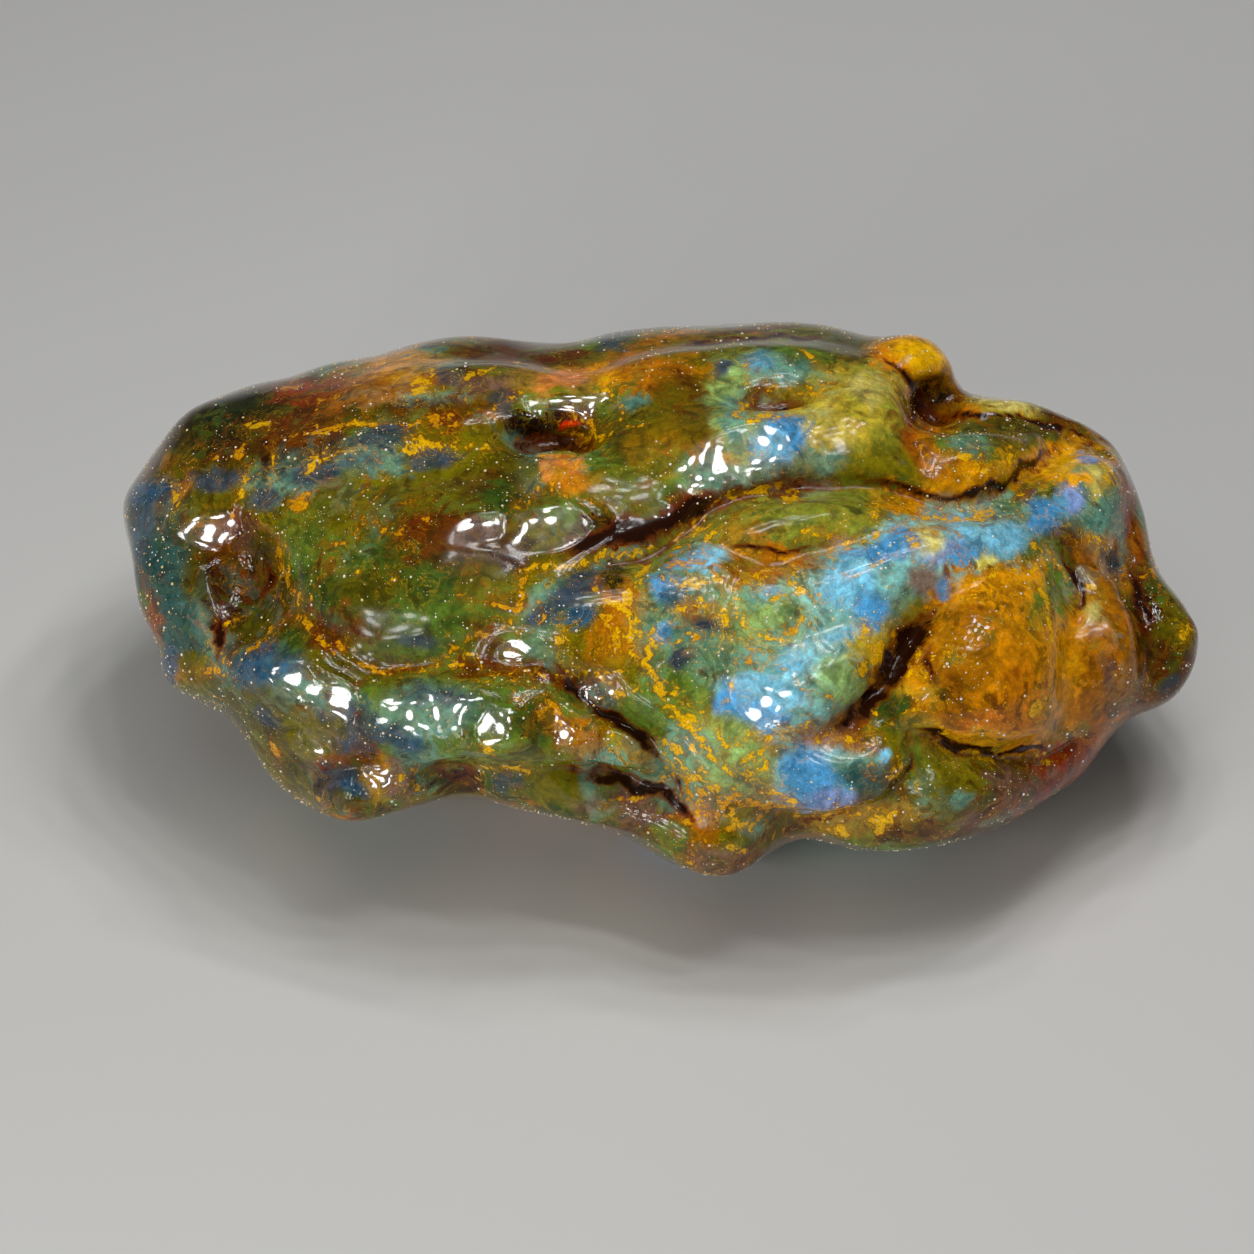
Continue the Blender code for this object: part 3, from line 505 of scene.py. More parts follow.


# patches on the near side: tint, middle x and u, half width along and across, turn, strength
# the darkBrown and blackBrown patches that lie in hollows, pits and creases are partly the amber's own dark
# brown and partly painted shade
zones = [
    # left end and hollow
    ("darkTeal", -51.5, 5.5, 2.2, 6.5, 0, 0.9), ("brown", -51.4, -2, 1.4, 3.4, 20, 0.9),
    ("deepTeal", -47.6, 2, 2.4, 8, 0, 0.85), ("rust", -49.5, 0.5, 0.7, 5, 4, 0.7),
    ("deepOlive", -45.5, 4.5, 2, 4.5, 0, 0.8), ("deepTeal", -46.6, -4.4, 2.2, 2.4, 0, 0.95),
    ("olive", -44.8, -7.4, 2.6, 1.8, -20, 0.8), ("olive", -43.4, -9.6, 2.6, 1, -25, 0.8),
    ("deepOlive", -46.4, 14.6, 5.5, 3.2, 42, 0.95), ("brown", -49.6, 13.4, 2.2, 0.9, 45, 0.8),
    ("darkOlive", -42.6, 17.4, 5.5, 3.2, 25, 0.95), ("darkTeal", -42, 19.8, 4.4, 1.4, 12, 0.95),
    ("darkOlive", -37.8, 18.4, 3, 3, 0, 0.9), ("darkBrown", -38.4, 14.8, 4.2, 2, 15, 0.9),
    ("rust", -33.4, 20.8, 3.6, 1.8, 8, 0.9), ("brown", -33, 17.2, 5, 2, 22, 0.9),
    ("darkBrown", -32.4, 14.6, 4, 1.6, 28, 0.8), ("honey", -27.6, 21.2, 4.5, 2.6, 10, 0.8),
    ("amberGold", -25.4, 23.6, 4.5, 1.4, 8, 0.8), ("deepOlive", -26, 18, 5, 1.2, 6, 0.9),
    ("brown", -20, 18.4, 6, 1.3, 0, 0.8), ("darkBrown", -40.6, 1.6, 3.8, 7.6, 8, 0.97),
    ("brown", -41, 6.6, 2.4, 2.4, 0, 0.85), ("deepOlive", -39.2, -2.4, 2.4, 1.4, 20, 0.85),
    # belly
    ("deepGreen", -26, 3, 11.5, 8, 4, 0.95), ("olive", -31, 8.6, 5.5, 3, 20, 0.85),
    ("green", -34.6, 6.2, 1.8, 3, 0, 0.6), ("green", -30.6, 4.2, 3.4, 2.2, 0, 0.4),
    ("deepOlive", -28, 0.8, 4, 2.2, 0, 0.85), ("olive", -22.4, 10.8, 5.5, 2, 6, 0.9),
    ("green", -20.6, -1.6, 5, 2.8, 0, 0.5), ("brown", -20, 6, 6, 3, -8, 0.95),
    ("darkBrown", -14.2, 4, 2.8, 1.4, 8, 0.95), ("darkTeal", -23, -3.4, 3.4, 1, 8, 0.7),
    ("olive", -16, 0.6, 2.6, 2, 0, 0.7), ("olive", -17.5, 13.4, 4, 1.2, 0, 0.85),
    # upper middle
    ("mauve", -16, 21, 3, 1.8, 20, 0.8), ("brown", -10.4, 24.9, 6.5, 1.4, -4, 0.95),
    ("tan", -9, 21.4, 5, 1.6, -6, 0.9), ("honey", 0.5, 23.8, 6, 2, 6, 0.9),
    ("green", -2.4, 19, 3, 2.4, 0, 0.85), ("brown", 3.2, 19, 2.6, 4, 10, 0.95),
    ("darkBrown", -9.6, 16.9, 4.6, 1.5, 4, 0.97), ("deepOlive", -3, 16.4, 2.6, 2.2, 0, 0.85),
    ("honey", 0.6, 14.2, 3.4, 2.2, 10, 0.5), ("olive", 2, 17.4, 4, 3, 0, 0.6),
    ("deepOlive", -14, 13, 3.4, 1.4, -10, 0.85), ("brown", -12.4, 9.6, 3.4, 1.8, -28, 0.85),
    ("olive", -3, 11, 4, 2.4, 10, 0.8), ("darkBrown", -2.4, 7.4, 6.5, 1.8, 14, 0.95),
    ("deepGreen", -14.4, 9.4, 2, 2.4, -20, 0.9), ("green", -10.4, 8.4, 2.4, 1.2, -20, 0.7),
    # upper right
    ("olive", 8, 25.6, 8, 1.6, 0, 0.8), ("paleTeal", 8, 19.4, 2.4, 5, 8, 0.95),
    ("green", 14, 24.6, 5, 1.6, -4, 0.8), ("brown", 11.6, 19.8, 3.6, 0.9, 10, 0.85),
    ("yellowGreen", 19.6, 18.4, 6.6, 4.8, 12, 0.97), ("olive", 20, 13.6, 6, 1.8, 0, 0.8),
    ("deepOlive", 19.6, 25.2, 4.4, 1.2, -8, 0.8), ("pale", 22, 20.6, 2.6, 1.7, 0, 0.85),
    ("amberGold", 27.2, 24, 4.6, 2.8, -14, 0.97), ("rust", 26.2, 17, 1.6, 4, 6, 0.95),
    # the blackBrown patch in the pit beside the knob is painted shade
    ("blackBrown", 28.6, 19.4, 2.6, 1.9, -14, 1), ("honey", 30, 14.6, 4.4, 4, 0, 0.95),
    ("green", 32, 15.8, 3.4, 2, 6, 0.9), ("amberGold", 33, 12, 5, 1.8, 14, 0.8),
    ("deepOlive", 36.8, 16.8, 4.6, 1.4, -8, 0.9), ("yellowGreen", 36.4, 19.4, 3.6, 1, -6, 0.95),
    ("brown", 43, 17.4, 4.4, 1.3, -28, 0.95), ("amberGold", 41, 13.6, 4.4, 2, 18, 0.95),
    ("yellowGreen", 45, 12, 1.5, 2.4, -10, 0.9), ("rust", 48.2, 8, 1.3, 6, 8, 0.95),
    ("darkBrown", 49, 12, 1, 3, 12, 0.6),
    # the band below the main fold, and the centre
    ("brown", 8, 10.4, 8, 1.4, 14, 0.85), ("leafGreen", 14, 8, 8.5, 2.6, 6, 0.9),
    ("amberGold", 26.6, 9.4, 5, 1.5, -8, 0.9), ("honey", 8.6, 6.4, 3.4, 1, 18, 0.8),
    ("olive", -8, 3.4, 5, 1.2, 14, 0.85), ("green", 6, -3, 6.5, 9, 0, 0.9), ("teal", 5, -5, 6, 8, 0, 0.6),
    ("paleTeal", 12, -1, 5, 4.6, 0, 0.9), ("honey", 5, -1.4, 2.2, 1.6, 0, 0.6),
    ("teal", 1.6, -9, 1.6, 3, 20, 0.7), ("honey", 9.8, 2.6, 2.2, 1, 20, 0.6),
    ("honey", 10.6, 3.4, 4.4, 1.6, 4, 0.85), ("green", 2.6, -10, 3.6, 5, 20, 0.9),
    ("leafGreen", 7, -12.6, 4, 3, -30, 0.85), ("seaTeal", 25.6, 4.4, 12, 3.4, 16, 0.95),
    ("seaTeal", 19.6, -0.6, 4.6, 5, 10, 0.8), ("seaTeal", 15.4, -8.4, 6.4, 5, 24, 0.97),
    ("yellowGreen", 22, -4.6, 2.2, 4, 12, 0.95), ("leafGreen", 20.6, -9.4, 1.8, 2.4, 30, 0.8),
    ("olive", -7.6, -4.8, 3.4, 2.8, -30, 0.97), ("honey", -3.4, -4.2, 2.2, 2.2, 0, 0.9),
    ("olive", -2.8, -7.6, 2, 2.6, 10, 0.9), ("green", -0.6, -11, 1.8, 3, 25, 0.85),
    # cheek and right end
    ("amberGold", 33.4, -6.6, 8.4, 8.2, 0, 0.9), ("honey", 33.4, -7.6, 6.4, 5.4, 0, 0.6),
    ("amberGold", 34, 1.6, 5.4, 2, 12, 0.95), ("green", 38.8, 0.4, 1.5, 3.6, -6, 0.85),
    ("brown", 30, -5.8, 3.6, 2.6, -20, 0.4), ("brown", 31, -1.6, 3.4, 1.5, -10, 0.4),
    ("ember", 36.6, -9, 1.8, 3.2, 10, 0.25), ("brown", 30, -9.4, 2.6, 2, 20, 0.4),
    ("ember", 33, -12, 3.4, 1.2, 4, 0.3), ("deepGreen", 23.8, -10.8, 2.8, 1.8, -10, 0.9),
    ("honey", 44.4, -4.6, 3.8, 6.4, 0, 0.9), ("amberGold", 41.4, -6, 1.2, 5, 0, 0.8),
    ("brown", 42.2, 5, 1.6, 3, 10, 0.9), ("honey", 44.4, 4.6, 2, 2.6, 0, 0.85),
    ("darkBrown", 48.6, -1, 1.3, 5, 8, 0.95), ("deepGreen", 50.6, 1.4, 1.3, 2.8, 20, 0.95),
    ("olive", 52.2, -3, 2, 2.6, 20, 0.9), ("brown", 51.4, -8, 2.4, 2.2, 20, 0.85),
    # lower right
    ("honey", 17.4, -13.4, 3.4, 1.6, 4, 0.9), ("deepOlive", 22.2, -18.2, 2.6, 2, 0, 0.9),
    ("tan", 22, -22.2, 6, 1.8, 3, 0.9), ("brown", 28, -22.6, 8, 1.6, 10, 0.85),
    ("olive", 29.4, -18.6, 4, 3.2, 0, 0.9), ("rust", 40.6, -17.8, 6, 3.2, 38, 0.97),
    ("mauve", 35.6, -18.6, 2.4, 1.6, 10, 0.85),
    # lower middle
    ("brown", -12, -7.2, 8, 1, -4, 0.95), ("deepGreen", -13, -11.4, 6, 2.6, -6, 0.9),
    ("green", -16.6, -14.4, 5, 1.6, 0, 0.9), ("honey", -7.6, -12.4, 3.4, 1.9, -20, 0.9),
    ("tan", -2.4, -14.6, 2.6, 1.2, -24, 0.8), ("darkBrown", -6, -9, 4.4, 1.2, -46, 0.9),
    ("darkBrown", -19.4, -17.8, 4, 1.1, 4, 0.97), ("deepGreen", -14, -18, 2.2, 2, 0, 0.85),
    ("olive", -9.6, -19, 3, 1.2, -14, 0.85), ("deepGreen", -7, -21.4, 4, 0.9, -10, 0.9),
    ("mauve", -2.4, -20, 4.6, 1.6, -14, 0.95), ("brown", -1.6, -23, 2.6, 1.4, -30, 0.9),
    ("green", 1.8, -23.4, 1.6, 2.2, 20, 0.85), ("orange", 4.8, -22.6, 1.6, 2.4, 30, 0.5),
    ("olive", 9.6, -22, 3.4, 2.2, 0, 0.9), ("mauve", 6.6, -26, 4, 1.3, 0, 0.85),
    ("brown", 11, -25, 3, 1, 20, 0.8), ("tan", 7.8, -16.6, 3.4, 2.2, -18, 0.9),
    # lower left
    ("deepOlive", -38.4, -11, 4.4, 3.4, -30, 0.9), ("brown", -31, -3, 4.4, 1.8, -10, 0.97),
    ("deepGreen", -35.4, -4, 3, 1.4, -10, 0.95), ("deepOlive", -28, -7, 5, 1.6, -6, 0.9),
    ("slate", -29.6, -12.4, 4.2, 2.4, -16, 0.9), ("olive", -33, -13, 3, 2, -30, 0.8),
    ("deepTeal", -24.4, -13.6, 2.6, 2.2, -20, 0.95), ("deepOlive", -36, -16.6, 3.2, 1.6, -45, 0.9),
    ("slate", -30.4, -18.6, 3.2, 2.2, 0, 0.97), ("tan", -27.4, -18, 1.4, 1.5, 0, 0.9),
    ("mauve", -25.2, -17.8, 1.5, 1.6, 0, 0.9), ("deepOlive", -28, -20.8, 4, 0.7, 0, 0.8),
]

# smaller hazes that are laid over them, in the same form
hazes = [
    ("deepBlue", -50, 10.4, 2.8, 1.3, 0, 0.9), ("slate", -43, 11.9, 2.8, 1.1, 8, 0.9),
    ("slate", -38.2, 10, 1.7, 1.3, 0, 0.9), ("deepBlue", -48, -7, 0.9, 2, 0, 0.95),
    ("deepBlue", -37.6, -6.6, 3.8, 1.8, 8, 0.9), ("slate", -33, 12.2, 2.6, 1, 12, 0.85),
    ("mauve", -31.4, 11.4, 1, 0.7, 0, 0.7), ("slate", -26.4, 15.8, 3, 1, 4, 0.9),
    ("slate", -28.4, 13.4, 2.2, 0.9, 10, 0.7), ("slate", -21.6, 14, 2.8, 0.9, 0, 0.9),
    ("slate", -19.6, 22.2, 1.6, 1, -10, 0.9), ("slate", -14.4, 19, 1.2, 1.4, 0, 0.8),
    ("peach", -8.6, 21.6, 2.6, 0.9, 8, 0.8), ("peach", -8.4, 13.4, 2.2, 0.35, -8, 0.7),
    ("orange", -8, 12, 2.8, 1.6, -10, 0.55), ("peach", -10.6, 12.6, 0.4, 1.2, 10, 0.7),
    ("amberGold", -4.6, 22.2, 1.7, 1.1, 20, 0.9), ("teal", -1.6, 19.6, 1.6, 1, 0, 0.7),
    # the redGlow haze is a painted glow in the pit above the middle, and the blackBrown one beside it is
    # painted shade in that pit
    ("redGlow", -7.6, 16.8, 0.8, 0.22, 4, 0.8), ("blackBrown", -11.8, 16.8, 2.2, 1.3, 0, 0.95),
    ("slate", -3.2, 26, 2.2, 0.9, 16, 0.7), ("slate", 7.2, 23.3, 1, 0.7, 0, 0.9),
    ("teal", 12, 22.9, 3, 1.3, -6, 0.9), ("blue", 11, 23, 1.6, 0.8, -6, 0.5),
    ("teal", 8.2, 18, 1.2, 2.4, 0, 0.8), ("blue", 12.6, 16, 2.4, 2.2, 20, 0.97),
    ("cyan", 11.6, 15, 1.6, 1.2, 0, 0.8), ("teal", 16.6, 13.8, 1.8, 1, 0, 0.7),
    ("teal", 32, 15.4, 1.8, 1.2, 0, 0.6), ("gold", 41.6, 13.4, 2.8, 1.2, 15, 0.7),
    ("pale", 44.8, 11.6, 1, 1.3, 0, 0.85), ("pale", 36.2, 19.6, 2.6, 0.7, -6, 0.95),
    ("gold", 27.8, 24.3, 2.6, 1.5, -20, 0.7), ("orange", 24, 23.8, 1.7, 1, -20, 0.6),
    ("violet", 43.8, 13.8, 1, 0.9, 0, 0.95), ("violet", 41.6, 10, 1.3, 1.4, 0, 0.9),
    ("blue", 39, 8.2, 2, 1.6, 0, 0.97), ("teal", 44.6, 7.8, 1.4, 1.8, 0, 0.9),
    ("slate", 45.6, 3.4, 0.9, 1.4, 10, 0.97), ("slate", 47.2, 13, 0.6, 1, 20, 0.7),
    ("cyan", 34.6, 6.2, 2.2, 1.6, 14, 0.97), ("cyan", 31, 6.6, 2, 1.1, 4, 0.9),
    ("violet", 28.6, 4.6, 2.2, 1.2, 20, 0.7), ("blue", 31, 4.6, 2, 1, 24, 0.8),
    ("pale", 27, 5.6, 1.4, 1.4, 0, 0.85), ("blue", 24, 4.8, 2.4, 1.4, 20, 0.97),
    ("blue", 20.6, 4.4, 2.6, 0.9, 18, 0.8), ("cyan", 19, 1.6, 2.8, 2.2, 10, 0.97),
    ("blue", 21.4, -1, 1.8, 2, 0, 0.95), ("cyan", 18.6, -3.2, 1.6, 1, 0, 0.8),
    ("mauve", 26.8, 1.8, 1.7, 1.1, 20, 0.85), ("blue", 28.8, 1.4, 1, 0.6, 45, 0.8),
    ("paleGold", 32.6, 4, 0.8, 0.6, 40, 0.85), ("cyan", 5, 4.2, 2.6, 0.9, 12, 0.95),
    ("blue", 2.6, 4, 1.4, 0.8, 20, 0.7), ("blue", 1.2, 1.2, 1.1, 1.4, -10, 0.95),
    ("deepBlue", 2.4, 0.2, 1.2, 1.4, -20, 0.8), ("blue", 1.6, -3.4, 1.2, 0.9, 0, 0.97),
    ("slate", 5.6, -2.6, 0.9, 0.7, 0, 0.9), ("slate", 3.2, -5.6, 1.3, 0.9, 0, 0.85),
    ("teal", 10.6, 0.6, 1.6, 1.4, 0, 0.8), ("cyan", 12, 1, 1, 0.7, 0, 0.7),
    ("paleTeal", 12.4, -1.6, 1.4, 1.2, 0, 0.8), ("cyan", 10, -8.6, 3, 1.1, 0, 0.97),
    ("blue", 8, -10.2, 1.8, 1.2, 0, 0.9), ("blue", 11, -11.4, 2.2, 1.4, 0, 0.9),
    ("cyan", 14.6, -6, 2.2, 1.4, 30, 0.85), ("cyan", 13, -9.6, 2, 1.4, 0, 0.7),
    ("paleTeal", 18, -8, 2, 2.6, 30, 0.7), ("teal", 2.4, -13.4, 1.3, 1, 0, 0.9),
    ("seaTeal", 17.6, -16.4, 4.4, 2.6, 0, 0.8), ("blue", 15.8, -17, 3.6, 3, 0, 0.9),
    ("violet", 17.4, -19.6, 2.6, 0.9, 6, 0.8), ("teal", 20, -15.4, 2.2, 1.2, 0, 0.9),
    ("cyan", 22.8, -15.2, 0.7, 0.7, 0, 0.9), ("slate", -9, -0.4, 4, 1.2, 27, 0.97),
    ("deepBlue", -6.6, -1.6, 1.7, 0.9, 20, 0.97), ("slate", -6, 1.4, 1.8, 0.9, 24, 0.9),
    ("darkOlive", -3.4, 2, 1.3, 1.6, 0, 0.95), ("teal", -21.6, -10.8, 5, 2.6, 0, 0.6),
    ("slate", -21, -9.4, 3.6, 1.2, 0, 0.7), ("deepBlue", -23.6, -14, 2.4, 1.2, -20, 0.7),
    ("slate", -37.2, -12, 1.6, 1, 0, 0.85), ("deepBlue", -29.4, -18.8, 1.4, 1, 0, 0.8),
    ("slate", -22.8, -4, 2, 0.9, 0, 0.7), ("slate", -13.8, -17.8, 1.3, 0.9, 0, 0.8),
    ("teal", 10.4, -22.2, 1.6, 1, 0, 0.7), ("slate", 51.4, -9, 1.2, 0.7, 30, 0.8),
    ("pale", 43.4, -1.6, 0.8, 1.1, 0, 0.7), ("mauve", 45, -7.4, 0.8, 1.4, 0, 0.7),
    ("teal", 30.6, -19.8, 1.2, 0.8, 0, 0.6), ("mauve", 31.4, -21.6, 1.4, 0.7, 0, 0.7),
    ("deepBlue", -50.4, 7, 1.6, 4, 0, 0.6), ("deepTeal", -48, 3, 2, 5, 0, 0.6),
    ("slate", -26, -13, 2.4, 1.2, -20, 0.6), ("paleTeal", 7, -15.4, 4.4, 3.2, -20, 0.8),
    ("teal", 4.6, -14.6, 2.2, 1.8, 0, 0.7), ("slate", 9, -17.4, 2.2, 1, -20, 0.5),
    ("deepTeal", 20.4, -17, 2.2, 1.6, 0, 0.7),
]

# golden spots: how orange, middle x and u, half width along and across, turn, size
flecks = [
    (0.15, -46.9, 11.5, 0.5, 0.4, 20, 1), (0, -46.9, 10.2, 0.25, 0.6, 0, 1),
    (0.85, -40.3, 14.8, 0.5, 1, -20, 0.9), (0, -38.5, 17.3, 0.9, 0.5, 10, 1),
    (0.85, -41, 8.4, 0.5, 1.9, -8, 1), (0.15, -23.3, 21.2, 0.8, 1.1, 20, 1),
    (0.15, -21.9, 22.6, 0.7, 0.6, 0, 1), (0, -22.4, 20.9, 0.5, 0.4, 0, 1),
    (0.15, -16.6, 22.4, 1.4, 0.25, 6, 0.9), (0.15, -4.4, 21.6, 0.9, 0.9, 30, 0.9),
    (0.85, -4.8, 23, 1.4, 0.7, 10, 0.8), (0.15, 24.4, 24.6, 1, 0.6, -20, 1),
    (0.15, 27.4, 22.6, 0.6, 0.5, 0, 1), (0.15, 29.2, 24.4, 0.9, 1.2, -20, 0.8),
    (0, 45.3, 12.8, 0.5, 1.1, -20, 1), (0.15, 36.6, 10.4, 0.5, 0.4, 0, 1),
    (0.15, 13.8, 9.7, 1.2, 0.5, -4, 0.9), (0.85, 24, 9, 1.6, 0.7, -10, 0.8),
    (0.85, 17.6, 6.4, 0.3, 0.7, 40, 1), (0, 20.9, -3.4, 0.5, 0.9, 10, 1), (0, 22.2, -5, 1.6, 1.6, 20, 0.9),
    (0.15, 21, -6.6, 0.6, 0.8, 20, 0.9), (0.15, 25, -6.9, 0.7, 0.6, 0, 1),
    (0.15, 25.8, -5.2, 0.6, 0.5, 0, 0.8), (0.15, -3, -0.6, 1, 0.9, 10, 1),
    (0.15, -1.9, -3.2, 0.6, 1.3, 10, 1), (0, -4.2, -0.5, 0.3, 0.7, 0, 1), (0.85, 0.7, -8, 0.4, 0.8, 0, 1),
    (0.15, 5.8, 1.6, 1.6, 0.5, -10, 0.9), (0.15, 3, -1.2, 0.7, 0.5, 30, 0.9),
    (0.85, 4.6, -3.8, 1, 0.7, 20, 0.8), (0.85, 13.4, -3.2, 1.3, 0.8, 20, 0.8),
    (0.15, 14.6, 0.4, 0.5, 0.9, 20, 1), (0, 12.4, 0.4, 0.8, 0.4, 0, 1),
    (0.15, 10.4, 2.4, 1.8, 0.5, 20, 0.8), (0.85, 9.6, -6, 0.6, 0.9, 30, 0.8),
    (0.15, 22.3, -21, 1.8, 0.5, 0, 1), (0, 22, -22.4, 0.7, 0.5, 0, 0.8),
    (0.15, -15.6, -14.6, 0.5, 0.7, 20, 1), (0.15, -4, -13.2, 0.4, 0.9, 20, 0.9),
    (0.85, -36.8, -15.2, 0.7, 1.3, 10, 0.9), (0.85, -42.7, -7.3, 0.5, 0.25, 10, 1),
    (0.15, -25.4, 1.7, 0.35, 0.3, 30, 1), (0.15, -28.6, 2.3, 0.35, 0.35, 0, 0.9),
    (0.85, -22, 8, 0.7, 1, 20, 0.8), (0.85, -24.6, 7, 0.5, 1.2, -20, 0.7),
    (0.85, -34.6, 9.6, 1, 1.4, -20, 0.9), (0, 5.2, -11.8, 0.6, 0.4, 30, 0.8),
    (0.15, 4.8, -13.4, 0.8, 0.5, 0, 0.9), (0, 53.4, -3.3, 0.6, 0.7, 0, 1), (0.15, 44, 5.6, 1, 0.4, -30, 1),
    (0.15, 43.6, 1.4, 0.7, 0.4, 30, 0.9), (0, 10, 22.5, 0.5, 0.7, 0, 0.9),
    (0.15, 8.4, -24.3, 0.6, 0.3, 0, 1), (0.1, -3.2, -0.4, 1.5, 0.9, 0, 1), (0.1, -1.9, -3, 0.7, 1.5, 10, 1),
    (0.1, -1.3, -5.2, 0.6, 1, 0, 1), (0.1, -0.3, -7.2, 0.5, 1, 20, 1), (0.1, 3.8, -11.8, 1.1, 0.8, 0, 1),
    (0.1, 5.2, -13.3, 0.9, 0.5, 30, 1), (0, 8, -13.8, 1.2, 0.3, 20, 0.9), (0, 4.2, 1.8, 1.5, 0.5, -10, 1),
    (0, 7, -1.2, 0.45, 1.6, 0, 1), (0.1, 5, -0.4, 0.8, 0.4, 20, 0.9), (0, -16, -14.4, 0.9, 0.6, 20, 1),
    (0.9, 3.6, -19.3, 1.5, 0.5, -40, 1), (0.1, 8.2, -21.4, 1.3, 0.4, -20, 1),
    (0, 23, -21.2, 1.5, 0.8, 10, 1), (0.1, 18.4, -22.8, 1, 0.5, 0, 0.9), (0.9, -27, 7.6, 1.5, 0.4, -30, 1),
    (0.9, -17.6, 3.2, 1.2, 0.5, 20, 0.9), (0.9, -30.4, -5, 1, 0.5, 0, 1),
    (0.9, -43, 14.6, 0.9, 0.4, 30, 0.9), (0.9, -35.6, 21.2, 1.6, 0.7, 0, 0.9),
    (0.5, 31, 13.4, 1.6, 0.4, -30, 1), (0.1, 35.4, 14.6, 0.4, 1.2, -10, 0.9),
    (0, 25.4, 5.6, 0.5, 1, 20, 0.8), (0.1, 16, 6.6, 1.2, 0.4, 20, 0.9),
]

